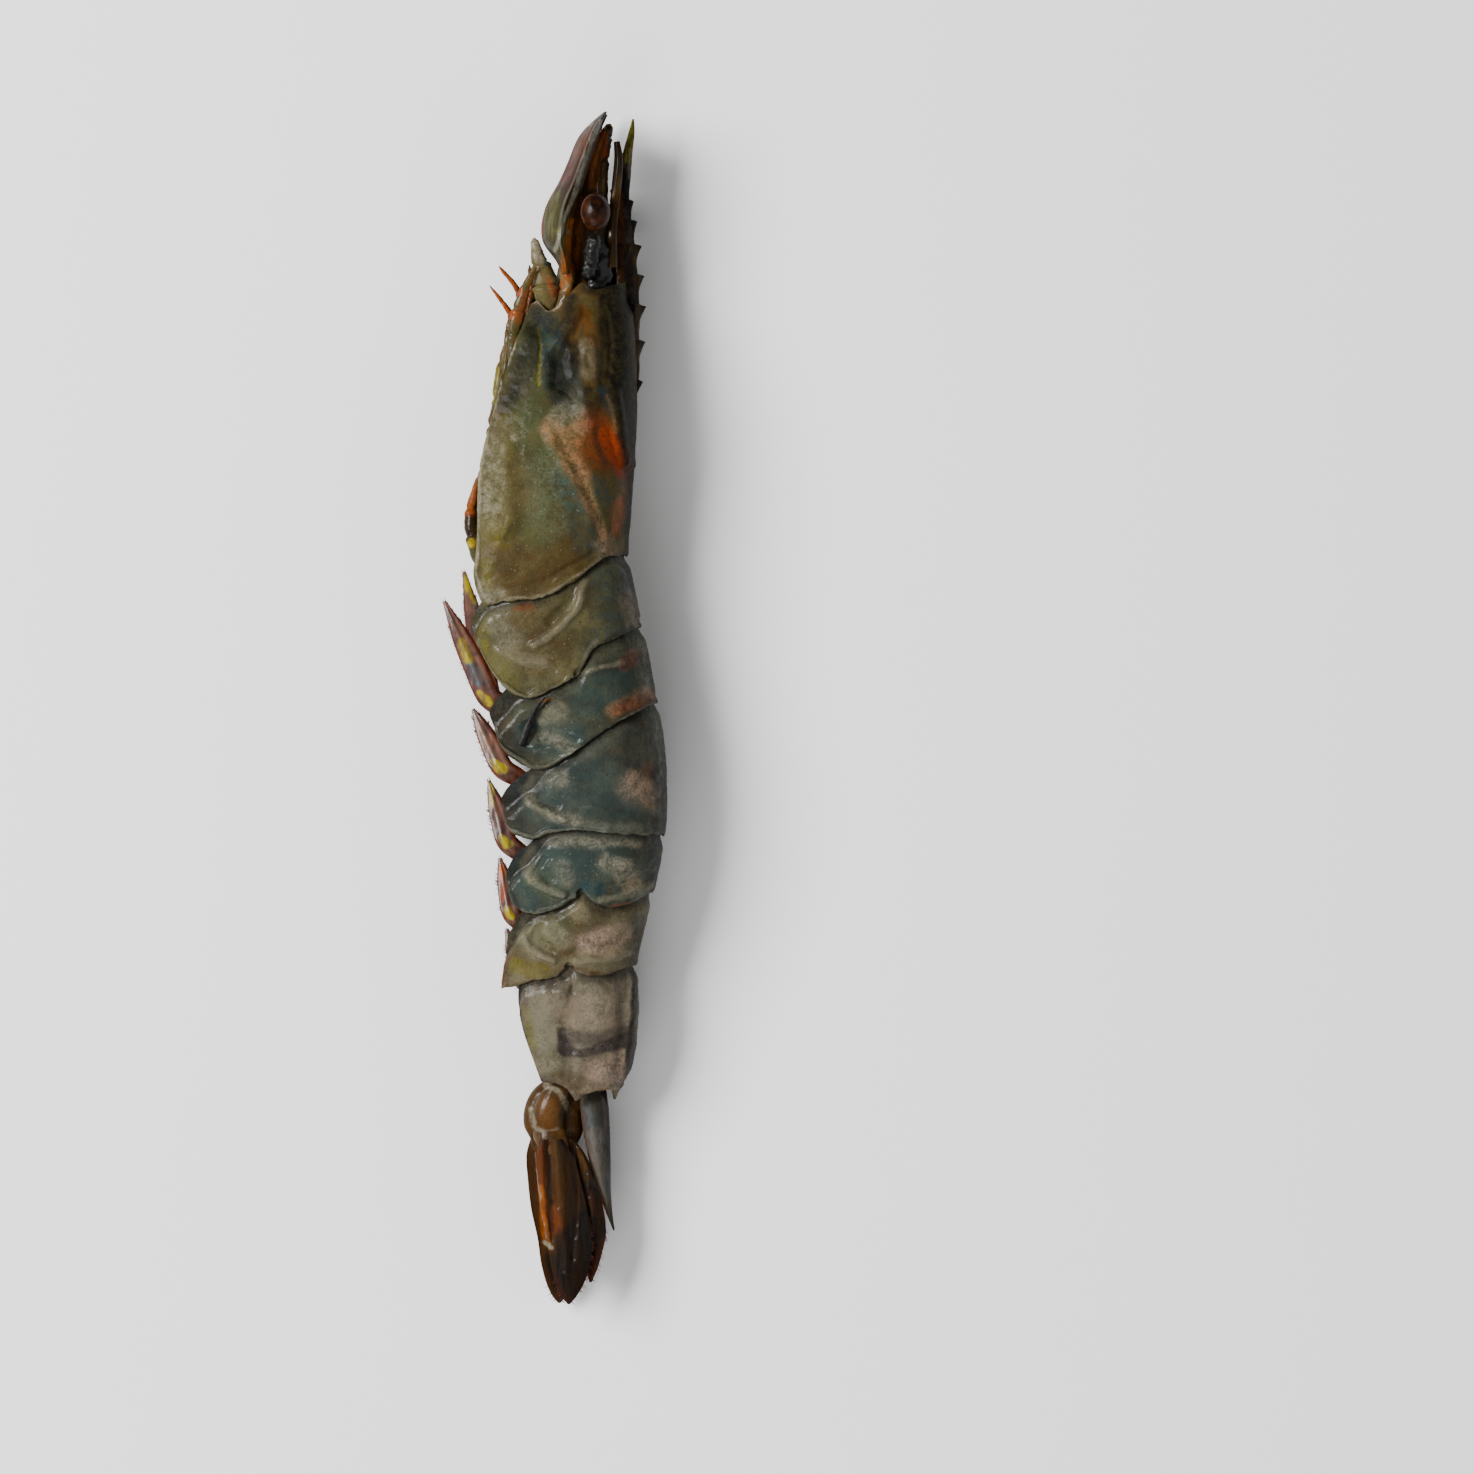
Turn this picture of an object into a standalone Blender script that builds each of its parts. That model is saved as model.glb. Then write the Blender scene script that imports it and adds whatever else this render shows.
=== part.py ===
"""Raw tiger prawn, whole, lying on its right side.

+Y runs to the head, +X to the back of the prawn, +Z up through its left side.
All sizes below are in millimetres and become metres where a mesh is made.
"""

import math

import bmesh
import bpy
from mathutils import Vector

MM = 0.001

# Shell and fit
SHELL_THICKNESS = 0.5
FIT_GAP = 0.3
UNDERLAP = 3.2  # how far a plate's front runs under the plate before it
FACET_RISE = 2.6  # length over which a plate rises out from under the plate before it
LAYER = SHELL_THICKNESS + FIT_GAP
FLESH_DEPTH = 2 * LAYER + 0.1

# Body envelope, as (y, value) from head to tail: back edge, belly edge, half width, middle plane
BACK = [(75, 12.6), (71, 13.0), (56, 13.9), (44, 13.6), (34, 13.0), (26, 12.5), (18.5, 13.9),
        (8, 16.1), (-4, 18.3), (-15, 19.1), (-25, 18.2), (-36, 15.6), (-44, 13.9), (-52, 13.9),
        (-60, 12.7), (-66, 10.4)]
BELLY = [(75, -1.8), (69, -4.3), (61, -7.2), (48, -11.1), (40, -12.9), (28, -13.3), (20, -14.3),
         (14, -14.5), (8, -13.5), (-2, -11.3), (-14, -9.6), (-30, -8.7), (-44, -8.4), (-54, -6.6), (-66, -2.6)]
HALF_WIDTH = [(75, 6.6), (71, 7.2), (64, 8.2), (56, 9.7), (46, 11.2), (34, 12.0), (24, 11.7), (12, 11.4),
              (0, 11.2), (-15, 10.9), (-30, 10.2), (-42, 9.0), (-52, 7.8), (-60, 6.7), (-66, 6.0)]
MIDDLE = [(75, 11.7), (30, 11.7), (12, 11.1), (0, 10.9), (-15, 10.6), (-30, 9.9), (-42, 8.9), (-52, 8.2),
          (-64, 7.8), (-102, 6.6)]
WIDEST = 0.44  # depth of the widest line, as a part of the way from back to belly
BACK_POWER = 2.3  # roundness of the back
BELLY_TUCK = 0.25  # how far the belly edges draw in
CARAPACE_STEPS = (15, 11)  # mesh steps along the body and round one side
SEGMENT_STEPS = (7, 11)

# Plates: (depth, y) along the front edge, the rear edge, and the depth of the belly edge by y
CARAPACE_FRONT = [(0, 72.5), (0.2, 71.8), (0.32, 71.2), (0.42, 71.3), (0.53, 72.3), (0.61, 71.0),
                  (0.7, 68.8), (0.8, 67.5), (0.88, 68.4), (0.95, 69.2), (1, 68.6)]
CARAPACE_REAR = [(0, 26.0), (0.1, 26.0), (0.2, 25.0), (0.3, 22.7), (0.45, 20.2), (0.6, 18.6),
                 (0.8, 18.2), (0.91, 17.5), (0.97, 20.3), (1, 23.3)]
SEGMENT_REARS = [
    [(0, 14.0), (0.18, 11.8), (0.3, 10.3), (0.36, 8.3), (0.42, 5.9), (0.46, 5.2), (0.55, 3.9), (0.7, 2.0),
     (0.8, 2.0), (0.88, 4.1), (0.95, 9.0), (1, 14.0)],
    [(0, 1.2), (0.25, -2.2), (0.4, -4.9), (0.52, -7.0), (0.65, -9.4), (0.76, -10.4), (0.87, -9.2),
     (0.96, -6.4), (1, -1.6)],
    [(0, -21.5), (0.35, -21.1), (0.53, -20.6), (0.69, -21.1), (0.8, -22.1), (0.91, -21.6),
     (0.97, -19.6), (1, -15.8)],
    [(0, -31.3), (0.1, -32.6), (0.26, -33.8), (0.4, -32.7), (0.48, -31.3), (0.54, -32.5), (0.65, -34.0),
     (0.82, -34.7), (0.91, -33.8), (0.97, -31.8), (1, -28.8)],
    [(0, -43.6), (0.1, -44.3), (0.25, -45.4), (0.43, -44.9), (0.52, -43.9), (0.6, -45.6), (0.79, -46.4),
     (1, -47.6)],
    [(0, -66.3), (0.08, -64.9), (0.19, -64.8), (0.44, -65.5), (0.57, -66.8), (0.64, -65.6), (0.76, -63.9),
     (1, -63.4)],
]
# Where each side lobe's own front edge shows, past the plate before it
LOBE_FRONTS = [
    [(0.8, 21.4), (0.9, 20.2), (0.96, 17.4), (1, 15.2)],
    [(0.8, 5.0), (0.88, 3.0), (0.95, 1.2), (1, -0.6)],
    [(0.72, -7.4), (0.8, -10.0), (0.87, -11.3), (0.96, -13.4), (1, -15.0)],
    [(0.72, -18.4), (0.79, -20.8), (0.86, -23.1), (0.94, -24.6), (1, -27.6)],
    [(0.78, -31.6), (0.88, -33.4), (0.94, -35.6), (1, -38.4)],
    [(0.8, -43.2), (0.95, -44.0), (1, -46.2)],
]
BELLY_DEPTHS = [
    [(20, 0.99), (12, 1.0)],
    [(5, 1.0), (-6, 0.99)],
    [(-10, 0.99), (-20, 0.995)],
    [(-22, 0.98), (-34, 1.0)],
    [(-36, 0.97), (-38.4, 0.985), (-43.5, 1.01), (-47.6, 1.06)],
    [(-45, 0.9), (-50, 0.95), (-57, 0.95), (-64, 0.93)],
]

# Flesh: rings along the body as (y, how full), and the depths of its points from back to belly
FLESH_STATIONS = [(70.6, 0.45), (69.2, 0.66), (65, 0.86), (60, 1), (52, 1), (44, 1), (35, 1), (26, 1), (18, 1),
                  (10, 1), (2, 1), (-6, 1), (-15, 1), (-24, 1), (-33, 1), (-42, 1), (-50, 1), (-57, 1),
                  (-61.5, 0.9)]
FLESH_SIDE = [0.02, 0.09, 0.22, 0.42, 0.6, 0.74]
STERNUM_DEPTH = 0.79

# Rostrum, as (y, x) along each edge from tip to root, and its teeth as (tip y, height)
ROSTRUM_STATIONS = [100.3, 98.5, 96.0, 94.0, 80.8, 76.5, 71.5, 66.0, 60.0, 58.0, 52.0]
ROSTRUM_BACK = [(100.3, 13.4), (98, 13.5), (95, 13.2), (90, 12.8), (86, 12.6), (80, 13.4), (75, 13.9),
                (68, 14.3), (62, 14.3), (57, 14.3), (52, 13.6)]
ROSTRUM_UNDER = [(100.3, 13.1), (97, 12.2), (94, 11.4), (91.5, 11.0), (88, 10.1), (84, 9.8), (71, 9.9),
                 (69, 10.9), (66, 12.1), (62, 12.9), (52, 12.9)]
BACK_TEETH = [(86.3, 0.8), (82.9, 1.0), (78.7, 1.2), (73.6, 1.2), (68.4, 1.2), (62.4, 1.1), (55.6, 0.8)]
UNDER_TEETH = [(91.6, 0.7), (88.2, 0.8), (84.6, 0.8)]
TOOTH_SLOPE = 3.0
TOOTH_DROP = 0.35
TOOTH_HOLLOW = 1.6  # how hollow a tooth's slope is
ROSTRUM_SECTION = [(1, 0), (0.6, 0.75), (0.2, 1), (0, 0.35), (0, -0.35), (0.2, -1), (0.6, -0.75)]
ROSTRUM_HALF_WIDTH = [(100.3, 0.25), (95, 0.6), (85, 1.0), (72, 1.4), (60, 1.0), (52, 0.5)]

# Tail plates, as (y, lower x, upper x, half width)
TELSON = [(-64.2, 4.2, 8.6, 3.6), (-68, 4.3, 9.1, 3.8), (-74, 5.2, 9.4, 3.4), (-80, 6.6, 9.5, 2.5),
          (-85, 8.3, 9.7, 1.3), (-88.8, 9.8, 10.1, 0.25)]
TELSON_GROOVE = 0.55
MOST_GROOVE = 0.3  # of the telson's depth
TELSON_SECTION = [(1, 0), (1, 0.3), (0.75, 0.8), (0.35, 1), (0, 0.6), (0, 0), (0, -0.6), (0.35, -1),
                  (0.75, -0.8), (1, -0.3)]
UROPOD_BASE = [(-62.6, 0.6, 3.4, 1.2), (-65, -2.2, 2.8, 1.8), (-68, -3.6, 2.2, 2.0), (-71, -3.7, 1.7, 1.7),
               (-72.9, -2.8, 1.4, 1.0)]
UROPOD_BASE_OUT = 2.6
ROUND_SIDES = 8
OUTER_FAN = [(-73.2, -2.6, 1.2), (-76, -3.3, 3.0), (-80, -3.1, 4.2), (-85.2, -2.5, 5.4), (-90.3, -1.4, 6.2),
             (-94.5, -0.8, 5.9), (-97.9, 0.1, 4.8), (-100.1, 1.1, 3.5), (-101.3, 2.1, 2.5)]
INNER_FAN = [(-73.2, 1.9, 3.2), (-76, 2.0, 5.2), (-80, 2.2, 6.9), (-85.2, 2.8, 8.2), (-89.4, 3.5, 8.6),
             (-92.8, 4.2, 7.9), (-95.4, 5.0, 7.1), (-97.6, 5.8, 6.2)]
OUTER_FAN_HEIGHT = (4.6, 3.2)  # from the middle plane, at root and tip
INNER_FAN_HEIGHT = (3.1, 1.8)
FAN_THICKNESS = 0.8
LEAF_SECTION = [(0, 0), (0.22, 1), (0.5, 0.75), (0.78, 1), (1, 0), (0.75, -1), (0.5, -1), (0.25, -1)]
LEAF_BOW = 0.3  # how far a blade's edges bend in, as a part of its width
LEAF_TAPER = 0.5
FAR_SIDE_SHIFT = -1.7  # the under-side fan sticks out this far past the upper one

# Head
EYE_CENTRE = (6.9, 84.3, 6.1)
EYE_SIZE = (5.1, 6.5, 5.0)
EYE_SIDES = 12
EYE_RINGS = 8
STALK_PATH = [(5.4, 72.4, 4.6, 1.0), (6.1, 76.5, 5.2, 1.1), (6.8, 80.6, 5.9, 1.3)]
PEDUNCLE_PATH = [(7.8, 72.4, 1.8, 1.25), (7.4, 80.0, 1.9, 1.4), (7.5, 87.0, 1.9, 1.4), (7.9, 93.0, 1.8, 1.2),
                 (8.6, 97.4, 1.6, 1.1), (9.4, 99.4, 1.5, 0.5)]
SCALE_BLADE = [(73.8, 1.2, 2.5), (76.0, 0.2, 2.6), (79.7, -2.2, 2.9), (84.8, -1.8, 3.6), (89.9, 0.8, 5.1),
               (93.3, 2.3, 6.2), (96.7, 3.7, 7.3), (98.9, 5.4, 7.9), (101.3, 8.3, 8.9)]
SCALE_HEIGHTS = (1.6, 7.2, 6.2)  # inner edge, rib, outer edge, from the middle plane
SCALE_RIB = 0.62  # place of the rib across the blade
SCALE_SECTION = [(0, 0), (0.25, 1), (0.5, 0.9), (SCALE_RIB, 1.6), (0.74, 0.9), (1, 0), (0.7, -1), (0.3, -1)]
SCALE_TAPER = 3.0  # width below which the blade thins
SCALE_THINNEST = 0.4
ANTENNA_BASE_PATH = [(-0.8, 67.2, 3.2, 1.5), (-1.4, 70.0, 3.9, 2.1), (-1.8, 73.2, 4.0, 2.0),
                     (-2.9, 76.8, 3.4, 1.2), (-3.6, 80.0, 3.0, 0.6)]
ANTENNA_BASE_FLAT = 0.75

# Limbs: (x, y, distance from the middle plane, radius)
MAXILLIPED = [(-4.2, 56.0, 3.4, 1.0), (-6.6, 58.5, 4.0, 1.2), (-6.9, 63.6, 4.3, 1.1), (-6.3, 67.0, 4.4, 1.2),
              (-5.0, 71.5, 5.0, 0.8), (-3.2, 75.0, 6.0, 0.3)]
LEGS = [
    [(-5.9, 53.6, 1.4, 0.9), (-5.9, 57.5, 1.3, 0.9), (-5.0, 64.0, 1.3, 0.8), (-4.0, 70.5, 1.3, 0.7),
     (-4.4, 75.5, 1.2, 0.25)],
    [(-5.6, 50.0, 1.8, 1.1), (-9.0, 49.4, 1.7, 1.1), (-9.8, 52.8, 1.6, 0.9), (-8.9, 59.0, 1.2, 0.8),
     (-6.6, 66.4, 1.0, 0.6), (-6.3, 70.9, 1.0, 0.5), (-9.6, 75.3, 1.2, 0.2)],
    [(-6.7, 44.0, 3.2, 1.2), (-10.0, 43.4, 3.6, 1.1), (-10.5, 48.0, 3.7, 1.0), (-8.5, 57.0, 3.1, 0.8),
     (-7.9, 64.4, 2.7, 0.6), (-7.7, 67.2, 2.5, 0.5), (-11.1, 71.9, 2.6, 0.2)],
    [(-7.6, 36.5, 4.0, 1.3), (-11.4, 35.8, 5.2, 1.2), (-11.9, 40.5, 5.8, 1.0), (-10.2, 48.0, 5.9, 0.8),
     (-8.9, 54.0, 5.8, 0.3)],
    [(-9.3, 29.2, 2.2, 1.3), (-12.4, 25.4, 2.3, 1.3), (-14.0, 29.5, 2.5, 1.2), (-14.2, 34.0, 2.3, 1.0),
     (-12.9, 40.0, 2.0, 0.3)],
]
LEG_SIDES = 6
MAXILLIPED_FLAT = 0.6

# Swimming legs: root, knee and blade tip as (x, y, distance from the middle plane)
SWIM_LEGS = [
    [(-5.6, -0.8, 5.0), (-11.2, 2.0, 5.8), (-18.8, 18.3, 4.6)],
    [(-4.2, -13.2, 4.8), (-9.0, -10.0, 5.7), (-14.0, 0.0, 3.7)],
    [(-3.6, -26.6, 4.6), (-8.2, -22.6, 5.3), (-11.3, -12.2, 3.4)],
    [(-4.0, -38.6, 4.0), (-7.4, -34.8, 4.8), (-9.4, -25.4, 3.0)],
    [(-3.4, -49.0, 3.0), (-6.0, -45.8, 3.8), (-8.3, -37.4, 2.4)],
]
FIRST_FAR_TIP = (-15.6, 23.4, 4.6)  # the far side's first one lies closer to the body
SWIM_WIDTHS = [2.0, 1.8, 1.7, 1.6, 1.4]
SWIM_THICKNESS = 0.9
# Way along to the knee at 1 and the tip at 2, and part of the width there
SWIM_PLACES = [(0, 0.8), (0.5, 0.9), (1, 1.0), (1.3, 1.0), (1.65, 0.75), (2, 0.12)]
BLADE_SECTION = [(1, 0), (0.5, 1), (-0.5, 1), (-1, 0), (-0.5, -1), (0.5, -1)]
INNER_BLADE_LENGTH = 0.72
INNER_BLADE_DROP = 1.1
INNER_BLADE_THICKNESS = 0.7
INNER_BLADE_ROOT = 0.7
INNER_BLADE_WIDTHS = (0.5, 0.75, 0.7, 0.12)

FRAGMENT_PATH = [(-5.7, -6.4, 0.65), (-4.7, -3.6, 0.7), (-3.6, -0.8, 0.45), (-1.7, 2.0, 0.25)]
FRAGMENT_LIFT = 1.0  # of its middle line above the plates
FRAGMENT_FLAT = 0.6

# Box centre of the whole prawn in the envelope's own axes, which becomes the origin
BOX_CENTRE = (0.05, 0.0)

COLOURS = {
    "flesh": (0.36, 0.30, 0.22), "shell": (0.16, 0.16, 0.12), "shell_head": (0.17, 0.15, 0.08),
    "tail": (0.20, 0.08, 0.02), "eye": (0.05, 0.02, 0.015), "limb": (0.30, 0.09, 0.03),
    "swim_leg": (0.22, 0.06, 0.02), "antenna": (0.22, 0.18, 0.12), "fragment": (0.01, 0.01, 0.01),
}


def smooth(points, at):
    """Value of a smooth curve through (place, value) points, held level past its ends."""
    points = sorted(points)
    if at <= points[0][0]:
        return points[0][1]
    if at >= points[-1][0]:
        return points[-1][1]
    i = max(k for k in range(len(points) - 1) if points[k][0] <= at)

    def slope(k):
        low, high = max(k - 1, 0), min(k + 1, len(points) - 1)
        return (points[high][1] - points[low][1]) / (points[high][0] - points[low][0])

    span = points[i + 1][0] - points[i][0]
    s = (at - points[i][0]) / span
    start = (2 * s**3 - 3 * s**2 + 1) * points[i][1] + (s**3 - 2 * s**2 + s) * span * slope(i)
    end = (3 * s**2 - 2 * s**3) * points[i + 1][1] + (s**3 - s**2) * span * slope(i + 1)
    return start + end


def ease(s):
    s = min(max(s, 0), 1)
    return s * s * (3 - 2 * s)


def depth_of(turn):
    """Depth below the back for a turn from 0 at the back to 1 at the belly edge."""
    if turn < 0.5:
        return WIDEST * (1 - math.cos(math.pi * turn) ** (2 / BACK_POWER))
    return WIDEST + (1 - WIDEST) * (2 * turn - 1)


def width_at(depth):
    """Half width at a depth, as a part of the greatest."""
    if depth < WIDEST:
        return (1 - (1 - depth / WIDEST) ** BACK_POWER) ** (1 / BACK_POWER)
    return 1 - BELLY_TUCK * ((depth - WIDEST) / (1 - WIDEST)) ** 2


def section_point(y, depth, inset):
    """(x, distance from the middle plane) of the body's surface, moved in by inset."""
    back, belly = smooth(BACK, y), smooth(BELLY, y)
    half = smooth(HALF_WIDTH, y)
    x = back - (back - belly) * depth
    across = half * width_at(depth)
    step = 0.01
    lower = half * width_at(depth + step) - half * width_at(max(depth - step, 0))
    along = (back - belly) * (depth + step - max(depth - step, 0))
    size = math.hypot(lower, along)
    normal = (along / size, lower / size) if depth > 0 else (0, 1)
    return x - inset * normal[1], max(across - inset * normal[0], 0)


def body_point(y, depth, side, inset):
    x, across = section_point(y, depth, inset)
    floor = max(inset, 0)
    return Vector((x, y, max(smooth(MIDDLE, y) + side * across, floor)))


def add_object(name, mesh, colour, root):
    material = bpy.data.materials.get(colour) or bpy.data.materials.new(colour)
    material.use_nodes = True
    shader = material.node_tree.nodes["Principled BSDF"]
    shader.inputs["Base Color"].default_value = (*COLOURS[colour], 1)
    shader.inputs["Roughness"].default_value = 0.35
    shader.inputs["Metallic"].default_value = 0
    mesh.materials.append(material)
    mesh.shade_smooth()
    mesh.set_sharp_from_angle(angle=math.radians(50))
    obj = bpy.data.objects.new(name, mesh)
    bpy.context.collection.objects.link(obj)
    obj.parent = root
    return obj


def mesh_of(name, bm):
    bmesh.ops.remove_doubles(bm, verts=bm.verts, dist=1e-7)
    bmesh.ops.recalc_face_normals(bm, faces=bm.faces)
    mesh = bpy.data.meshes.new(name)
    bm.to_mesh(mesh)
    bm.free()
    return mesh


def loft(name, rings):
    """Closed mesh through rings of equal count, each end closed by a fan round its middle."""
    bm = bmesh.new()
    rows = [[bm.verts.new(point * MM) for point in ring] for ring in rings]
    count = len(rows[0])
    for row, following in zip(rows, rows[1:]):
        for i in range(count):
            bm.faces.new((row[i], row[(i + 1) % count], following[(i + 1) % count], following[i]))
    for row in (rows[0], rows[-1]):
        middle = bm.verts.new(sum((v.co for v in row), Vector()) / count)
        for i in range(count):
            bm.faces.new((row[i], row[(i + 1) % count], middle))
    return mesh_of(name, bm)


def plate_mesh(name, front, rear, belly, steps_along, steps_round):
    """Outer face of a plate that wraps the body from one belly edge over the back to the other."""
    bm = bmesh.new()
    rows = []
    for i in range(steps_along + 1):
        row = []
        for j in range(-steps_round, steps_round + 1):
            turn = abs(j) / steps_round
            start, stop = smooth(front, depth_of(turn)), smooth(rear, depth_of(turn))
            y = start + (stop - start) * (i / steps_along)
            depth = depth_of(turn) * smooth(belly, y)
            rise = ease((start - y - UNDERLAP) / FACET_RISE)
            row.append(bm.verts.new(body_point(y, depth, math.copysign(1, j), LAYER * (1 - rise)) * MM))
        rows.append(row)
    for row, following in zip(rows, rows[1:]):
        for j in range(2 * steps_round):
            bm.faces.new((row[j], following[j], following[j + 1], row[j + 1]))
    bm.normal_update()
    middle = rows[len(rows) // 2][steps_round]
    if middle.normal.x < 0:
        bmesh.ops.reverse_faces(bm, faces=bm.faces)
    mesh = bpy.data.meshes.new(name)
    bm.to_mesh(mesh)
    bm.free()
    return mesh


def add_plate(name, front, rear, belly, steps, colour, root):
    obj = add_object(name, plate_mesh(name, front, rear, belly, *steps), colour, root)
    wall = obj.modifiers.new("wall", "SOLIDIFY")
    wall.thickness = SHELL_THICKNESS * MM
    wall.offset = -1
    wall.use_even_offset = True
    return obj


def saw(y, teeth):
    """Height of the tooth, if any, at this place: each rises slowly and drops just past its tip."""
    for tip, height in teeth:
        if tip - TOOTH_SLOPE < y <= tip:
            return height * ((y - tip + TOOTH_SLOPE) / TOOTH_SLOPE) ** TOOTH_HOLLOW
        if tip < y < tip + TOOTH_DROP:
            return height * (1 - (y - tip) / TOOTH_DROP)
    return 0


def rostrum_rings():
    places = set(ROSTRUM_STATIONS)
    for tip, _ in BACK_TEETH + UNDER_TEETH:
        places |= {tip - TOOTH_SLOPE / 2, tip, tip + TOOTH_DROP}
    rings = []
    for y in sorted(places, reverse=True):
        top = smooth(ROSTRUM_BACK, y) + saw(y, BACK_TEETH)
        low = smooth(ROSTRUM_UNDER, y) - saw(y, UNDER_TEETH)
        half, mid = smooth(ROSTRUM_HALF_WIDTH, y), smooth(MIDDLE, y)
        depth = top - low
        rings.append([Vector((low + depth * a, y, mid + half * b)) for a, b in ROSTRUM_SECTION])
    return rings


def add_carapace(root):
    edges = (CARAPACE_FRONT, CARAPACE_REAR, [(0, 1)])
    carapace = add_plate("carapace", *edges, CARAPACE_STEPS, "shell_head", root)
    rostrum = add_object("rostrum_tool", loft("rostrum_tool", rostrum_rings()), "shell_head", root)
    rostrum.hide_render = True
    rostrum.display_type = "WIRE"
    join = carapace.modifiers.new("rostrum", "BOOLEAN")
    join.operation = "UNION"
    join.object = rostrum


def plate_fronts():
    """Front edges of the six tail plates: each starts under the plate before it."""
    fronts = []
    for before, lobe in zip([CARAPACE_REAR] + SEGMENT_REARS, LOBE_FRONTS):
        hidden = [(depth, y + UNDERLAP) for depth, y in before if depth < lobe[0][0] - 0.04]
        fronts.append(hidden + lobe)
    return fronts


def add_segments(root):
    for number, (front, rear, belly) in enumerate(zip(plate_fronts(), SEGMENT_REARS, BELLY_DEPTHS), 1):
        name = f"abdomen_segment_{number}"
        add_plate(name, front, rear, belly, SEGMENT_STEPS, "shell", root)


def add_flesh(root):
    """Trunk and tail meat inside the plates, closed across the belly."""
    rings = []
    for y, scale in FLESH_STATIONS:
        back, belly = smooth(BACK, y), smooth(BELLY, y)
        centre = back - (back - belly) * WIDEST
        mid = smooth(MIDDLE, y)
        left = [body_point(y, depth, 1, FLESH_DEPTH) for depth in FLESH_SIDE]
        right = [body_point(y, depth, -1, FLESH_DEPTH) for depth in reversed(FLESH_SIDE)]
        sternum = [Vector((back - (back - belly) * STERNUM_DEPTH, y, mid))]
        ring = [Vector((back - FLESH_DEPTH, y, mid))] + left + sternum + right
        axis = Vector((centre, y, mid))
        rings.append([axis + (point - axis) * scale for point in ring])
    add_object("flesh", loft("flesh", rings), "flesh", root)


def frame_along(path, i):
    ahead = Vector(path[min(i + 1, len(path) - 1)][:3]) - Vector(path[max(i - 1, 0)][:3])
    return ahead.normalized()


def tube_rings(path, side, sides, flat=1.0):
    """Rings round a path of (x, y, distance from the middle plane, radius) points."""
    rings = []
    turned = [(x, y, smooth(MIDDLE, y) + side * off, radius) for x, y, off, radius in path]
    for i, (x, y, z, radius) in enumerate(turned):
        ahead = frame_along(turned, i)
        out = (Vector((0, 0, 1)) - ahead * ahead.z).normalized()
        across = ahead.cross(out)
        ring = []
        for k in range(sides):
            angle = 2 * math.pi * k / sides
            ring.append(Vector((x, y, z)) + (across * math.cos(angle) + out * math.sin(angle) * flat) * radius)
        rings.append(ring)
    return rings


def denser(path, steps):
    """The path with extra points on a smooth curve between its own."""
    places = range(len(path))
    columns = [list(zip(places, values)) for values in zip(*path)]
    count = (len(path) - 1) * steps
    return [tuple(smooth(column, i / steps) for column in columns) for i in range(count + 1)]


def leaf_rings(outline, height, thickness, side, shift=0.0):
    """Rings of a flat blade from (y, low x, high x), thick in its middle and thin at its edges."""
    rings = []
    first, last = outline[0][0], outline[-1][0]
    for y, low, high in outline:
        part = (y - first) / (last - first)
        mid = smooth(MIDDLE, y) + side * (height[0] + (height[1] - height[0]) * part)
        half = 0.5 * thickness * (1 - LEAF_TAPER * part)
        ring = []
        for place, rise in LEAF_SECTION:
            bow = LEAF_BOW * (place - 0.5) ** 2 * (high - low)
            ring.append(Vector((low + (high - low) * place + shift, y, mid + side * (half * rise - bow))))
        rings.append(ring)
    return rings


def oval_ring(centre, wide, high, sides):
    """Ring across the body's length, with half sizes wide along x and high along z."""
    turns = (math.tau * k / sides for k in range(sides))
    return [centre + Vector((wide * math.cos(turn), 0, high * math.sin(turn))) for turn in turns]


def add_telson(root):
    rings = []
    for y, low, high, half in TELSON:
        mid = smooth(MIDDLE, y)
        depth = high - low
        groove = min(TELSON_GROOVE, depth * MOST_GROOVE)
        ring = [Vector((low + depth * a, y, mid + half * b)) for a, b in TELSON_SECTION]
        ring[0].x -= groove
        rings.append(ring)
    add_object("telson", loft("telson", rings), "tail", root)


def add_tail_fan(root):
    for word, side, shift in (("left", 1, 0.0), ("right", -1, FAR_SIDE_SHIFT)):
        rings = []
        for y, low, high, half in UROPOD_BASE:
            centre = Vector(((low + high) / 2 + shift, y, smooth(MIDDLE, y) + side * UROPOD_BASE_OUT))
            rings.append(oval_ring(centre, (high - low) / 2, half, ROUND_SIDES))
        add_object(f"uropod_base_{word}", loft("base", rings), "tail", root)
        outer = leaf_rings(OUTER_FAN, OUTER_FAN_HEIGHT, FAN_THICKNESS, side, shift)
        inner = leaf_rings(INNER_FAN, INNER_FAN_HEIGHT, FAN_THICKNESS, side, shift)
        add_object(f"tail_fan_outer_{word}", loft("outer", outer), "tail", root)
        add_object(f"tail_fan_inner_{word}", loft("inner", inner), "tail", root)


def add_eye(word, side, root):
    bm = bmesh.new()
    bmesh.ops.create_uvsphere(bm, u_segments=EYE_SIDES, v_segments=EYE_RINGS, radius=0.5 * MM)
    bmesh.ops.scale(bm, verts=bm.verts, vec=EYE_SIZE)
    eye = add_object(f"eye_{word}", mesh_of("eye", bm), "eye", root)
    x, y, off = EYE_CENTRE
    eye.location = Vector((x, y, smooth(MIDDLE, y) + side * off)) * MM
    stalk = loft("stalk", tube_rings(denser(STALK_PATH, 2), side, ROUND_SIDES))
    add_object(f"eye_stalk_{word}", stalk, "eye", root)


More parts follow.
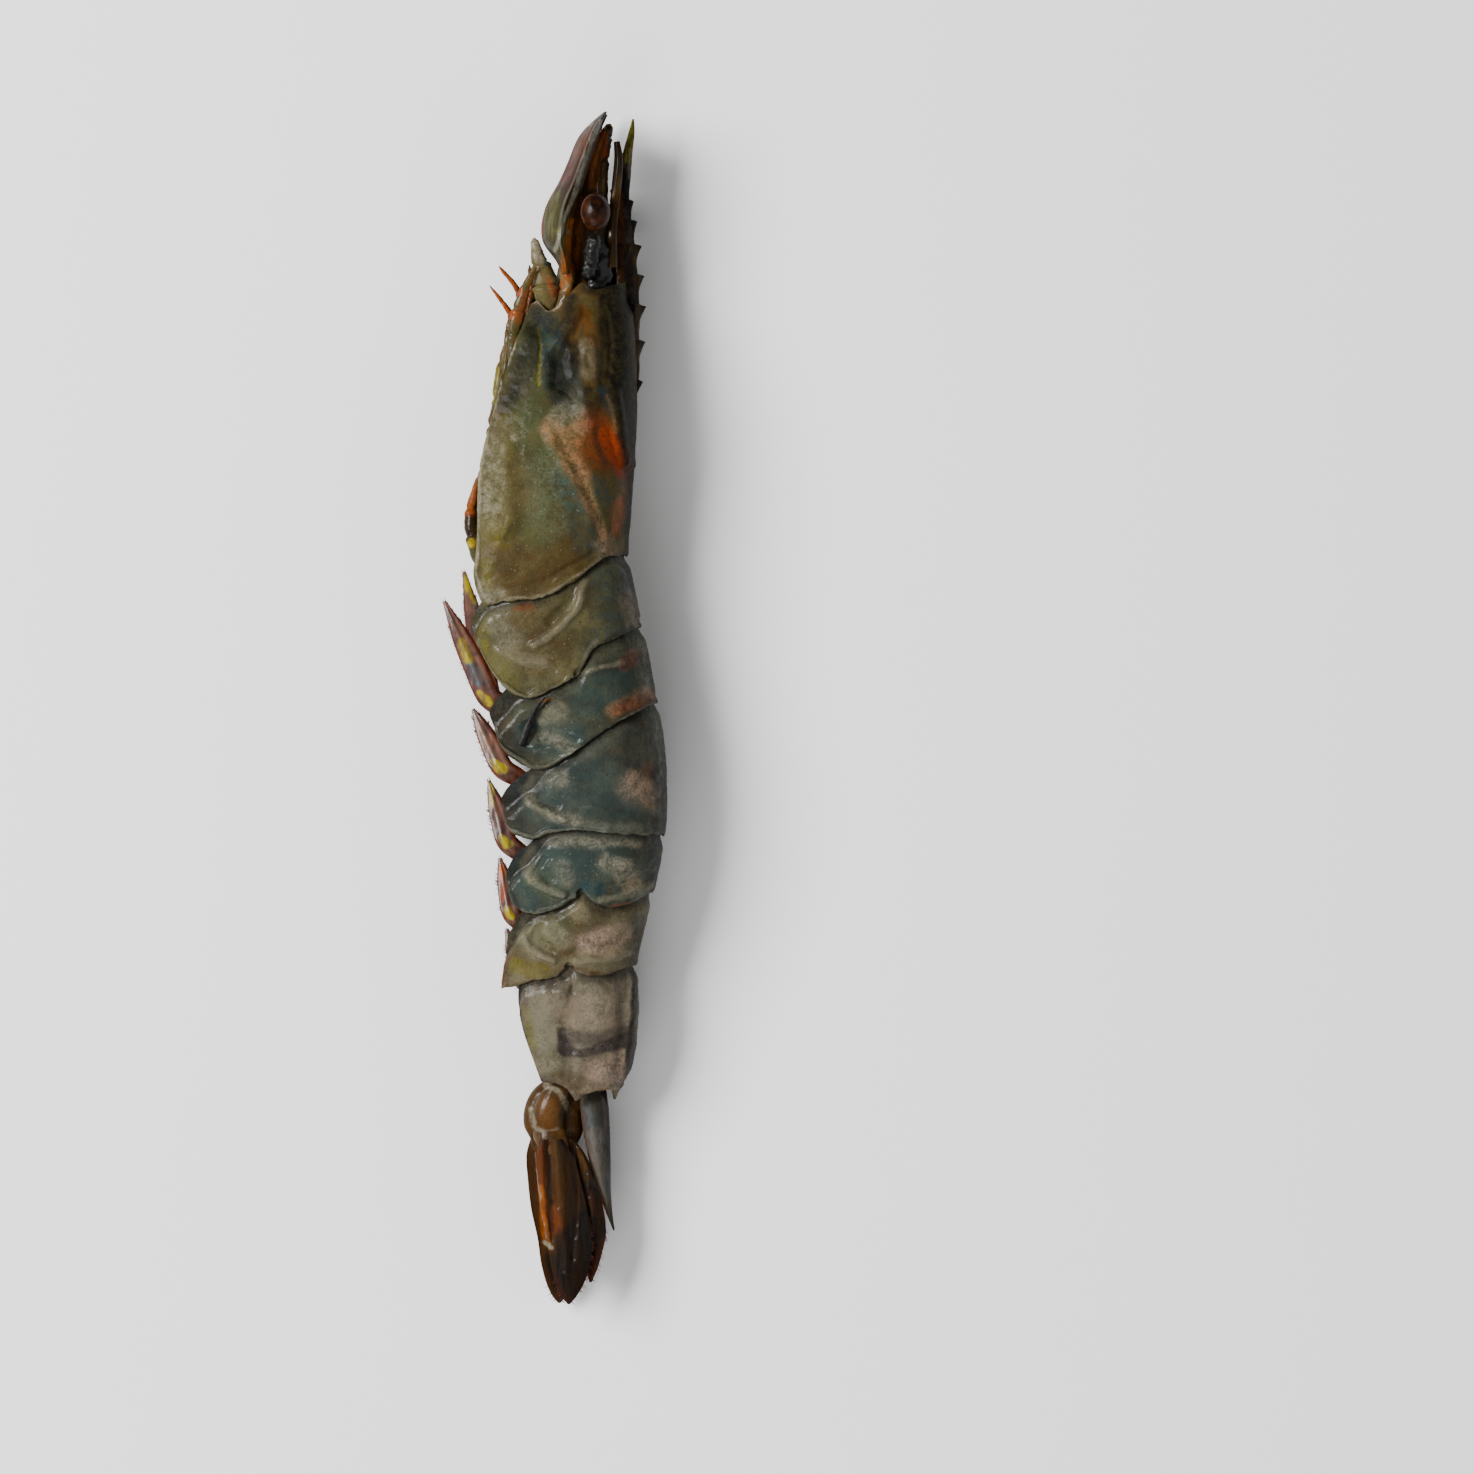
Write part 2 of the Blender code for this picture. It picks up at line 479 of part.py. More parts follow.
def add_antennal_scale(word, side, root):
    """Long pointed plate beside the rostrum, roof-shaped across its rib."""
    rings = []
    inner, rib, outer = SCALE_HEIGHTS
    for y, low, high in reversed(SCALE_BLADE):
        mid = smooth(MIDDLE, y)
        narrow = min(1, (high - low) / SCALE_TAPER)
        half = 0.5 * FAN_THICKNESS * max(narrow, SCALE_THINNEST)
        ring = []
        for place, rise in SCALE_SECTION:
            height = smooth([(0, inner), (SCALE_RIB, rib), (1, outer)], place)
            level = rib + (height - rib) * narrow
            ring.append(Vector((low + (high - low) * place, y, mid + side * (level + half * rise))))
        rings.append(ring)
    add_object(f"antennal_scale_{word}", loft("scale", rings), "antenna", root)


def add_head(root):
    for word, side in (("left", 1), ("right", -1)):
        add_eye(word, side, root)
        add_antennal_scale(word, side, root)
        peduncle = loft("antennule", tube_rings(denser(PEDUNCLE_PATH, 2), side, ROUND_SIDES))
        add_object(f"antennule_{word}", peduncle, "antenna", root)
        base_rings = tube_rings(denser(ANTENNA_BASE_PATH, 2), side, ROUND_SIDES, ANTENNA_BASE_FLAT)
        base = loft("antenna_base", base_rings)
        add_object(f"antenna_base_{word}", base, "antenna", root)


def add_limbs(root):
    for word, side in (("left", 1), ("right", -1)):
        rings = tube_rings(denser(MAXILLIPED, 2), side, LEG_SIDES, MAXILLIPED_FLAT)
        maxilliped = loft("maxilliped", rings)
        add_object(f"maxilliped_{word}", maxilliped, "limb", root)
        for number, path in enumerate(LEGS, 1):
            leg = loft("leg", tube_rings(denser(path, 2), side, LEG_SIDES))
            add_object(f"leg_{number}_{word}", leg, "limb", root)


def blade_rings(path, widths, thickness, side):
    """Rings of a leaf-like limb along a path: wide in the side view, thin across it."""
    rings = []
    turned = [Vector((x, y, smooth(MIDDLE, y) + side * off)) for x, y, off in path]
    for i, (point, wide) in enumerate(zip(turned, widths)):
        ahead = frame_along(turned, i)
        across = Vector((ahead.y, -ahead.x, 0)).normalized()
        out = Vector((0, 0, 1)) * thickness * min(1, wide)
        rings.append([point + across * wide * a + out * b for a, b in BLADE_SECTION])
    return rings


def inner_blade_rings(base, knee, tip, wide, side):
    """Rings of the shorter blade that hangs beside a swimming leg's outer one."""
    short = knee.lerp(tip, INNER_BLADE_LENGTH)
    drop = Vector((0.5, 0, -INNER_BLADE_DROP))
    path = [base.lerp(knee, INNER_BLADE_ROOT), knee + drop * 0.6, knee.lerp(short, 0.5) + drop, short + drop]
    widths = [wide * k for k in INNER_BLADE_WIDTHS]
    return blade_rings(path, widths, 0.5 * INNER_BLADE_THICKNESS, side)


def add_swim_legs(root):
    for word, side in (("left", 1), ("right", -1)):
        for number, ((base, knee, tip), wide) in enumerate(zip(SWIM_LEGS, SWIM_WIDTHS), 1):
            if number == 1 and side < 0:
                tip = FIRST_FAR_TIP
            base, knee, tip = Vector(base), Vector(knee), Vector(tip)
            path = [base.lerp(knee, k) if k <= 1 else knee.lerp(tip, k - 1) for k, _ in SWIM_PLACES]
            widths = [wide * k for _, k in SWIM_PLACES]
            limb = loft("swim_leg", blade_rings(path, widths, 0.5 * SWIM_THICKNESS, side))
            leg = add_object(f"swim_leg_{number}_{word}", limb, "swim_leg", root)
            blade = loft("blade", inner_blade_rings(base, knee, tip, wide, side))
            tool = add_object(f"blade_tool_{number}_{word}", blade, "swim_leg", root)
            tool.hide_render = True
            tool.display_type = "WIRE"
            join = leg.modifiers.new("blade", "BOOLEAN")
            join.operation = "UNION"
            join.object = tool


def add_fragment(root):
    """Dark scrap of shell that lies on the second segment."""
    rings = []
    for x, y, radius in denser(FRAGMENT_PATH, 2):
        back, belly = smooth(BACK, y), smooth(BELLY, y)
        top = body_point(y, (back - x) / (back - belly), 1, 0).z + FRAGMENT_LIFT
        rings.append(oval_ring(Vector((x, y, top)), radius, FRAGMENT_FLAT * radius, LEG_SIDES))
    add_object("shell_fragment", loft("fragment", rings), "fragment", root)


def clear_scene():
    for obj in list(bpy.data.objects):
        bpy.data.objects.remove(obj, do_unlink=True)


def main():
    clear_scene()
    root = bpy.data.objects.new("prawn", None)
    bpy.context.collection.objects.link(root)
    root.location = (-BOX_CENTRE[0] * MM, -BOX_CENTRE[1] * MM, 0)
    add_flesh(root)
    add_carapace(root)
    add_segments(root)
    add_telson(root)
    add_tail_fan(root)
    add_head(root)
    add_limbs(root)
    add_swim_legs(root)
    add_fragment(root)


main()
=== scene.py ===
import math
from itertools import product

import bpy
import numpy as np
from bpy.props import FloatProperty, FloatVectorProperty, IntProperty, PointerProperty
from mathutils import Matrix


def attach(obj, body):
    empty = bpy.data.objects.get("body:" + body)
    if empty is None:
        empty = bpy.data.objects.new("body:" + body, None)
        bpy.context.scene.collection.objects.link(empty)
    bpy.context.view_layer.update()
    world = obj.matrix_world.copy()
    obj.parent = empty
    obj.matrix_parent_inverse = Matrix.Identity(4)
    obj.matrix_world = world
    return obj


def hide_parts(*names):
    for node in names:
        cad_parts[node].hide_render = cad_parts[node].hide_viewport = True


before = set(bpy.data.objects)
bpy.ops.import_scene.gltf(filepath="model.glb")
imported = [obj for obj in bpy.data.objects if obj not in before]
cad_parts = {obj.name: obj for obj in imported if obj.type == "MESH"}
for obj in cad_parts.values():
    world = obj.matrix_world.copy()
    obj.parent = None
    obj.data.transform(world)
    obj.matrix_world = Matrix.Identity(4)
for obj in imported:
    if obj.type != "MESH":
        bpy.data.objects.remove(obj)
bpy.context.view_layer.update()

bl_info = {
    "name": "Raw tiger prawn",
    "version": (1, 0, 0),
    "blender": (4, 5, 0),
    "location": "View3D > Sidebar > Prawn",
    "description": "Builds a raw tiger prawn on its side, with its shell plates, limbs and tail fan",
    "category": "Add Mesh",
}

MM = 0.001

# Side-view sheet that the marks are drawn on: one step in millimetres, and the step where both axes are 0
STEP = 0.17
SHEET_ZERO = (555.5, 709.0)
BOX_CENTRE = 0.05  # of the body's own x, in millimetres
WET_DEPTH = 0.36  # how much darker a wet surface is
WET_FULLNESS = 1.25  # and how much fuller its colour
TONE_ORDER = ("umber", "green", "blue", "slate", "olive", "pale", "pink", "tan", "amber", "maroon", "rust",
              "orange", "dark", "band", "yellow", "silver", "cream")  # as the marks are laid on
CLEAR_TONES = ("dark", "band", "rust", "yellow", "silver", "cream", "orange")  # marks with less ragged edges
SIDES = (("left", 1), ("right", -1))

# Shell and fit, in millimetres
SHELL_THICKNESS = 0.5
UNDERLAP = 3.2
FACET_RISE = 2.6
LAYER = 0.8
RIM_WIDTH = 0.7
RIM_DROP = 0.2
SIDE_WAY = 22.0  # about the way round one side of a plate
SIDE_FADE = 12.0  # how fast the wandering of a rear edge fades at the belly
WAVE_REACH = 3.0
# width of the painted contact shadow where a plate comes out from under the one before
OVERLAP_SHADE_WIDTH = 2.6
LOBE_GAP = 0.04  # of the depth from the back
SLAB_RIM = 0.05

# Body envelope, as (y, value) from head to tail
BACK = [(75, 12.6), (71, 13.0), (56, 13.9), (44, 13.6), (34, 13.0), (26, 12.5), (18.5, 13.9),
        (8, 16.1), (-4, 18.3), (-15, 19.1), (-25, 18.2), (-36, 15.6), (-44, 13.9), (-52, 13.9),
        (-60, 12.7), (-66, 10.4)]
BELLY = [(75, -1.8), (69, -4.3), (61, -7.2), (48, -11.1), (40, -12.9), (28, -13.3), (20, -14.3),
         (14, -14.5), (8, -13.5), (-2, -11.3), (-14, -9.6), (-30, -8.7), (-44, -8.4), (-54, -6.6),
         (-66, -2.6)]
HALF_WIDTH = [(75, 6.6), (71, 7.2), (64, 8.2), (56, 9.7), (46, 11.2), (34, 12.0), (24, 11.7),
              (12, 11.4), (0, 11.2), (-15, 10.9), (-30, 10.2), (-42, 9.0), (-52, 7.8), (-60, 6.7),
              (-66, 6.0)]
MIDDLE = [(75, 11.7), (30, 11.7), (12, 11.1), (0, 10.9), (-15, 10.6), (-30, 9.9), (-42, 8.9),
          (-52, 8.2), (-64, 7.8), (-102, 6.6)]
WIDEST = 0.44
BACK_POWER = 2.3
BELLY_TUCK = 0.25

# Plates, as (depth from the back, y)
CARAPACE_FRONT = [(0, 72.5), (0.2, 71.8), (0.32, 71.2), (0.42, 71.3), (0.53, 72.3), (0.61, 71.0),
                  (0.7, 68.8), (0.8, 67.5), (0.88, 68.4), (0.95, 69.2), (1, 68.6)]
CARAPACE_GRID = (180, 100)  # mesh rows, and columns round one side
CARAPACE_REAR = [(0, 26.0), (0.1, 26.0), (0.2, 25.0), (0.3, 22.7), (0.45, 20.2), (0.6, 18.6),
                 (0.8, 18.2), (0.91, 17.5), (0.97, 20.3), (1, 23.3)]
SEGMENT_REARS = [
    [(0, 14.0), (0.18, 11.8), (0.3, 10.3), (0.36, 8.3), (0.42, 5.9), (0.46, 5.2), (0.55, 3.9),
     (0.7, 2.0), (0.8, 2.0), (0.88, 4.1), (0.95, 9.0), (1, 14.0)],
    [(0, 1.2), (0.25, -2.2), (0.4, -4.9), (0.52, -7.0), (0.65, -9.4), (0.76, -10.4), (0.87, -9.2),
     (0.96, -6.4), (1, -1.6)],
    [(0, -21.5), (0.35, -21.1), (0.53, -20.6), (0.69, -21.1), (0.8, -22.1), (0.91, -21.6),
     (0.97, -19.6), (1, -15.8)],
    [(0, -31.3), (0.1, -32.6), (0.26, -33.8), (0.4, -32.7), (0.48, -31.3), (0.54, -32.5),
     (0.65, -34.0), (0.82, -34.7), (0.91, -33.8), (0.97, -31.8), (1, -28.8)],
    [(0, -43.6), (0.1, -44.3), (0.25, -45.4), (0.43, -44.9), (0.52, -43.9), (0.6, -45.6),
     (0.79, -46.4), (1, -47.6)],
    [(0, -66.3), (0.08, -64.9), (0.19, -64.8), (0.44, -65.5), (0.57, -66.8), (0.64, -65.6),
     (0.76, -63.9), (1, -63.4)],
]
LOBE_FRONTS = [
    [(0.8, 21.4), (0.9, 20.2), (0.96, 17.4), (1, 15.2)],
    [(0.8, 5.0), (0.88, 3.0), (0.95, 1.2), (1, -0.6)],
    [(0.72, -7.4), (0.8, -10.0), (0.87, -11.3), (0.96, -13.4), (1, -15.0)],
    [(0.72, -18.4), (0.79, -20.8), (0.86, -23.1), (0.94, -24.6), (1, -27.6)],
    [(0.78, -31.6), (0.88, -33.4), (0.94, -35.6), (1, -38.4)],
    [(0.8, -43.2), (0.95, -44.0), (1, -46.2)],
]
BELLY_DEPTHS = [
    [(20, 0.99), (12, 1.0)],
    [(5, 1.0), (-6, 0.99)],
    [(-10, 0.99), (-20, 0.995)],
    [(-22, 0.98), (-34, 1.0)],
    [(-36, 0.97), (-38.4, 0.985), (-43.5, 1.01), (-47.6, 1.06)],
    [(-45, 0.9), (-50, 0.95), (-57, 0.95), (-64, 0.93)],
]

# Rostrum, as (y, x) along each edge, and its teeth as (tip y, height)
ROSTRUM_BACK = [(100.3, 13.4), (98, 13.5), (95, 13.2), (90, 12.8), (86, 12.6), (80, 13.4), (75, 13.9),
                (68, 14.3), (62, 14.3), (57, 14.3), (52, 13.6)]
ROSTRUM_UNDER = [(100.3, 13.1), (97, 12.2), (94, 11.4), (91.5, 11.0), (88, 10.1), (84, 9.8), (71, 9.9),
                 (69, 10.9), (66, 12.1), (62, 12.9), (52, 12.9)]
BACK_TEETH = [(86.3, 0.8), (82.9, 1.0), (78.7, 1.2), (73.6, 1.2), (68.4, 1.2), (62.4, 1.1), (55.6, 0.8)]
UNDER_TEETH = [(91.6, 0.7), (88.2, 0.8), (84.6, 0.8)]
TOOTH_SLOPE = 3.0
TOOTH_DROP = 0.35
TOOTH_HOLLOW = 1.6
ROSTRUM_GROOVE = (0.14, 0.42, 0.1)  # depth, then middle and width as shares of the height
ROSTRUM_FADE = (99, 8)  # y where the groove ends, and the length over which it fades
ROSTRUM_HALF_WIDTH = [(100.3, 0.25), (95, 0.6), (85, 1.0), (72, 1.4), (60, 1.0), (52, 0.5)]
ROSTRUM_SECTION = [(1, 0), (0.6, 0.75), (0.2, 1), (0, 0.35), (0, -0.35), (0.2, -1), (0.6, -0.75)]

# Tail, as (y, lower x, upper x, half width)
TELSON = [(-64.2, 4.2, 8.6, 3.6), (-68, 4.3, 9.1, 3.8), (-74, 5.2, 9.4, 3.4), (-80, 6.6, 9.5, 2.5),
          (-85, 8.3, 9.7, 1.3), (-88.8, 9.8, 10.1, 0.25)]
TELSON_GROOVE = 0.55
TELSON_SECTION = [(1, 0), (1, 0.3), (0.75, 0.8), (0.35, 1), (0, 0.6), (0, 0), (0, -0.6), (0.35, -1),
                  (0.75, -0.8), (1, -0.3)]
UROPOD_BASE = [(-62.6, 0.6, 3.4, 1.2), (-65, -2.2, 2.8, 1.8), (-68, -3.6, 2.2, 2.0),
               (-71, -3.7, 1.7, 1.7), (-72.9, -2.8, 1.4, 1.0)]
UROPOD_BASE_OUT = 2.6
OUTER_FAN = [(-73.2, -2.6, 1.2), (-76, -3.3, 3.0), (-80, -3.1, 4.2), (-85.2, -2.5, 5.4),
             (-90.3, -1.4, 6.2), (-94.5, -0.8, 5.9), (-97.9, 0.1, 4.8), (-100.1, 1.1, 3.5),
             (-101.3, 2.1, 2.5)]
INNER_FAN = [(-73.2, 1.9, 3.2), (-76, 2.0, 5.2), (-80, 2.2, 6.9), (-85.2, 2.8, 8.2), (-89.4, 3.5, 8.6),
             (-92.8, 4.2, 7.9), (-95.4, 5.0, 7.1), (-97.6, 5.8, 6.2)]
OUTER_FAN_HEIGHT = (4.6, 3.2)
INNER_FAN_HEIGHT = (3.1, 1.8)
FAN_THICKNESS = 0.8
FAN_GRID = (130, 46)
FAN_HAIR_LENGTH = 0.8
FAN_HAIR_STARTS = {1: 0.82, 2: 0.45}  # share of the lower and the upper edge before the hairs start
LEAF_TOP = [(0, 0), (0.22, 1), (0.5, 0.75), (0.78, 1), (1, 0)]
LEAF_UNDER = [(0, 0), (0.25, -1), (0.5, -1), (0.75, -1), (1, 0)]
LEAF_BOW = 0.3
FAR_SIDE_SHIFT = -1.7
HINGE_START = -70.4
HINGE_LENGTH = 5.8
HINGE_WIDTH = 2.4
HINGE_FLAT = 0.42
HINGE_X = -0.7
HINGE_SLANT = 0.9
HINGE_LOW = 2.7
HINGE_RISE = 1.5

# Head, as points of (x, y, distance from the middle plane, radius)
EYE_CENTRE = (6.9, 84.3, 6.1)
EYE_SIZE = (5.1, 6.5, 5.0)
EYE_AIM = (0.1, 0.45, 0.86)  # way the eye looks on the left side
STALK_PATH = [(5.4, 72.4, 4.6, 1.0), (6.1, 76.5, 5.2, 1.1), (6.8, 80.6, 5.9, 1.3)]
PEDUNCLE_PATH = [(7.8, 72.4, 1.8, 1.25), (7.4, 80.0, 1.9, 1.4), (7.5, 87.0, 1.9, 1.4),
                 (7.9, 93.0, 1.8, 1.2), (8.6, 97.4, 1.6, 1.1), (9.4, 99.4, 1.5, 0.5)]
PEDUNCLE_JOINTS = (1.4, 3.1, 4.0)
SCALE_GRID = (150, 50)
SCALE_BLADE = [(73.8, 1.2, 2.5), (76.0, 0.2, 2.6), (79.7, -2.2, 2.9), (84.8, -1.8, 3.6),
               (89.9, 0.8, 5.1), (93.3, 2.3, 6.2), (96.7, 3.7, 7.3), (98.9, 5.4, 7.9), (101.3, 8.3, 8.9)]
SCALE_HEIGHTS = (1.6, 7.2, 6.2)
SCALE_RIB = 0.62
SCALE_TOP = [(0, 0), (0.25, 1), (0.5, 0.9), (SCALE_RIB, 1.6), (0.74, 0.9), (1, 0)]
SCALE_UNDER = [(0, 0), (0.3, -1), (0.7, -1), (1, 0)]
ANTENNA_BASE_PATH = [(-0.8, 67.2, 3.2, 1.5), (-1.4, 70.0, 3.9, 2.1), (-1.8, 73.2, 4.0, 2.0),
                     (-2.9, 76.8, 3.4, 1.2), (-3.6, 80.0, 3.0, 0.6)]
ANTENNA_BASE_JOINTS = (1.6, 2.7)
MAXILLIPED_JOINTS = (1.0, 2.0, 3.2, 4.1)
MAXILLIPED = [(-4.2, 56.0, 3.4, 1.0), (-6.6, 58.5, 4.0, 1.2), (-6.9, 63.6, 4.3, 1.1),
              (-6.3, 67.0, 4.4, 1.2), (-5.0, 71.5, 5.0, 0.8), (-3.2, 75.0, 6.0, 0.3)]
LEGS = [
    [(-5.9, 53.6, 1.4, 0.9), (-5.9, 57.5, 1.3, 0.9), (-5.0, 64.0, 1.3, 0.8), (-4.0, 70.5, 1.3, 0.7),
     (-4.4, 75.5, 1.2, 0.25)],
    [(-5.6, 50.0, 1.8, 1.1), (-9.0, 49.4, 1.7, 1.1), (-9.8, 52.8, 1.6, 0.9), (-8.9, 59.0, 1.2, 0.8),
     (-6.6, 66.4, 1.0, 0.6), (-6.3, 70.9, 1.0, 0.5), (-9.6, 75.3, 1.2, 0.2)],
    [(-6.7, 44.0, 3.2, 1.2), (-10.0, 43.4, 3.6, 1.1), (-10.5, 48.0, 3.7, 1.0), (-8.5, 57.0, 3.1, 0.8),
     (-7.9, 64.4, 2.7, 0.6), (-7.7, 67.2, 2.5, 0.5), (-11.1, 71.9, 2.6, 0.2)],
    [(-7.6, 36.5, 4.0, 1.3), (-11.4, 35.8, 5.2, 1.2), (-11.9, 40.5, 5.8, 1.0), (-10.2, 48.0, 5.9, 0.8),
     (-8.9, 54.0, 5.8, 0.3)],
    [(-9.3, 29.2, 2.2, 1.3), (-12.4, 25.4, 2.3, 1.3), (-14.0, 29.5, 2.5, 1.2), (-14.2, 34.0, 2.3, 1.0),
     (-12.9, 40.0, 2.0, 0.3)],
]
SWIM_LEGS = [
    [(-5.6, -0.8, 5.0), (-11.2, 2.0, 5.8), (-18.8, 18.3, 4.6)],
    [(-4.2, -13.2, 4.8), (-9.0, -10.0, 5.7), (-14.0, 0.0, 3.7)],
    [(-3.6, -26.6, 4.6), (-8.2, -22.6, 5.3), (-11.3, -12.2, 3.4)],
    [(-4.0, -38.6, 4.0), (-7.4, -34.8, 4.8), (-9.4, -25.4, 3.0)],
    [(-3.4, -49.0, 3.0), (-6.0, -45.8, 3.8), (-8.3, -37.4, 2.4)],
]
FIRST_FAR_TIP = (-15.6, 23.4, 4.6)
SWIM_WIDTHS = [2.0, 1.8, 1.7, 1.6, 1.4]
SWIM_PLACES = [(0, 0.8), (0.5, 0.9), (1, 1.0), (1.3, 1.0), (1.65, 0.75), (2, 0.12)]
SWIM_THICKNESS = 0.9
SWIM_GRID = (84, 26)
SWIM_HAIR_LENGTH = 0.75
SWIM_HAIR_START = 0.42
INNER_BLADE_LENGTH = 0.72
INNER_BLADE_DROP = 1.1
INNER_BLADE_THICKNESS = 0.7
INNER_BLADE_ROOT = 0.7
INNER_BLADE_GRID = (46, 18)
INNER_BLADE_WIDTHS = [0.5, 0.75, 0.7, 0.12]
FRAGMENT_PATH = [(-5.7, -6.4, 0.65), (-4.7, -3.6, 0.7), (-3.6, -0.8, 0.45), (-1.7, 2.0, 0.25)]
FRAGMENT_LIFT = 1.0
FRAGMENT_FLAT = 0.6
FRAGMENT_DROP = 0.5
FRAGMENT_WAIST = (0.35, -1.9, 0.5)  # share, then y and length of the narrow place

# Stage, in metres
CAMERA_HEIGHT = 3.0
FRAME_WIDTH = 0.2506
FRAME_CENTRE = (0.03085, -0.0048)
FRAME_LEVEL = 0.012  # height above the floor where the frame is this wide
SENSOR_WIDTH = 36.0  # of the camera, in millimetres
FLOOR_HALF = 1.6
FLOOR_DROP = 0.0002
SKY_STRENGTH = 0.14
LIGHTS = (("key light", (-0.95, 0.3, 0.95), 50.0, 0.7), ("fill light", (1.1, -0.2, 0.8), 6.0, 1.4),
          ("back light", (-0.35, -1.1, 0.8), 13.0, 0.9))  # (name, place, power in watts, width)

# Colour marks on each piece, by tone: (strength, soft edge, path of (across, down, half width) on the sheet)
CARAPACE_MARKS = {
    "umber": [
        (0.7, 24, [(578, 320, 10), (590, 370, 12), (600, 410, 8)]),
        (0.55, 30, [(602, 440, 12), (604, 470, 10)]),
        (0.7, 24, [(572, 500, 8), (570, 555, 12), (520, 575, 14)]),
        (0.8, 7, [(494, 545, 4), (503, 552, 5)]), (0.6, 9, [(526, 570, 5), (533, 574, 4)]),
        (0.8, 14, [(580, 300, 6), (588, 340, 6), (604, 390, 5), (612, 410, 4)]),
        (0.95, 8, [(574, 290, 3), (590, 290, 5), (606, 296, 4)])],
    "blue": [
        (0.75, 16, [(548, 330, 6), (560, 375, 10), (572, 400, 6)]),
        (0.5, 18, [(570, 480, 8), (590, 540, 8)]), (0.7, 7, [(604, 392, 2), (612, 412, 2)]),
        (0.5, 10, [(596, 485, 3), (606, 500, 3)])],
    "green": [
        (0.6, 18, [(530, 330, 5), (528, 380, 8), (532, 430, 8)]),
        (0.75, 26, [(548, 462, 8), (556, 500, 10), (540, 530, 6)]),
        (0.45, 10, [(546, 345, 2), (547, 430, 3)]), (0.55, 14, [(520, 400, 4), (525, 440, 6)]),
        (0.6, 8, [(592, 500, 3), (598, 528, 3)])],
    "pale": [
        # Pale strip down the belly edge (left on the sheet): painted light of the side that faces the key
        # light
        (0.36, 14, [(497, 442, 4), (493, 460, 6), (492, 500, 8), (492, 525, 3)]),
        (0.5, 10, [(484, 592, 5), (500, 596, 3)]), (0.15, 20, [(545, 470, 6), (548, 520, 10)]),
        (0.24, 9, [(590, 350, 5), (591, 372, 5)]),
        (0.5, 10, [(556, 425, 5), (576, 400, 4), (580, 425, 5)]),
        (0.7, 3, [(524, 392, 2), (525, 386, 1.5)]), (0.7, 3, [(516, 437, 2.5)])],
    "olive": [
        (0.3, 16, [(500, 450, 5), (494, 490, 7), (498, 540, 4)]),
        (0.9, 1.6, [(540, 330, 0.6), (541, 350, 0.8), (538, 385, 0.6)]),
        (0.3, 8, [(486, 566, 3), (490, 584, 2)])],
    "dark": [
        (0.85, 14, [(537, 318, 4), (532, 350, 5), (520, 385, 5), (505, 405, 1)]),
        (0.7, 12, [(550, 325, 5), (562, 335, 6), (572, 320, 3)]),
        (0.9, 12, [(553, 362, 5), (560, 392, 7), (568, 368, 6), (571, 350, 4)]),
        (0.7, 9, [(572, 392, 3), (600, 398, 2), (592, 415, 2)]),
        # The near-black strips along the back (right on the sheet) are painted shade of the side turned away
        # from the key light
        (0.9, 9, [(608, 296, 3), (612, 335, 4), (613, 375, 4), (618, 402, 4)]),
        (1.0, 9, [(614, 298, 11), (620, 345, 12), (624, 395, 10), (631, 450, 5), (632, 500, 3),
            (634, 560, 2)]), (0.8, 6, [(573, 300, 1), (566, 345, 2), (556, 375, 3)]),
        (0.35, 6, [(598, 302, 2), (600, 350, 2), (606, 398, 3)]),
        (0.7, 5, [(580, 398, 2), (596, 408, 1.5)]),
        (0.85, 6, [(588, 289, 3), (600, 289, 4), (613, 289, 5)]),
        (0.6, 2.5, [(587, 358, 1.2), (587, 367, 1.2)]), (0.55, 2, [(512, 525, 0.5), (505, 540, 0.6)]),
        (0.5, 5, [(600, 562, 1), (625, 556, 2)])],
    "rust": [
        (0.42, 18, [(593, 422, 3), (606, 438, 4)]),
        (0.9, 12, [(607, 434, 2), (618, 454, 6), (625, 472, 2)]), (0.35, 26, [(600, 450, 8)]),
        (0.4, 8, [(620, 505, 3), (616, 530, 2)])],
    "amber": [
        (0.26, 6, [(571, 346, 1), (577, 328, 2), (582, 312, 2)]),
        (0.24, 6, [(582, 312, 2), (590, 330, 2), (596, 345, 1)])],
    "tan": [
        (0.8, 11, [(550, 430, 4), (560, 438, 6), (572, 442, 6), (580, 428, 3)]),
        (0.8, 7, [(566, 452, 4), (572, 467, 4), (584, 488, 2)]),
        (0.75, 8, [(562, 436, 2), (574, 455, 3), (583, 478, 3.5), (587, 496, 3), (596, 518, 1.5),
            (604, 540, 0.5)]), (0.7, 6, [(630, 468, 1), (623, 497, 1.5), (613, 535, 1)]),
        (0.7, 3, [(609, 398, 0.5), (617, 432, 0.8)])],
    "pink": [
        (0.55, 12, [(604, 545, 4), (616, 575, 4), (600, 590, 4)]),
        (1.0, 2.2, [(529, 303, 1.2), (537, 302, 1.4), (543, 306, 1.4), (549, 312, 1.4), (555, 311, 1.4),
            (561, 305, 1.4), (565, 297, 1.3), (570, 291, 1), (577, 285, 1)])],
    # Pale lines along the ridge and the rear rim: partly lighter rim, partly painted highlight on the ridges
    "cream": [
        (0.8, 1.5, [(528, 304, 0.4), (519, 322, 0.5), (513, 350, 0.5), (503, 378, 0.5), (493, 412, 0.6),
            (486, 440, 0.7), (480, 470, 0.7), (479, 545, 0.5), (476, 572, 0.5), (484, 595, 0.5)]),
        (0.55, 1.6, [(500, 601, 0.5), (535, 599, 0.7), (560, 589, 0.7), (583, 575, 0.6), (600, 560, 0.5)])],
}

# Flecked areas on each plate: (soft edge, path on the sheet)
CARAPACE_FLECKS = [(30, [(540, 430, 10), (548, 480, 24), (545, 540, 24), (520, 570, 10)])]
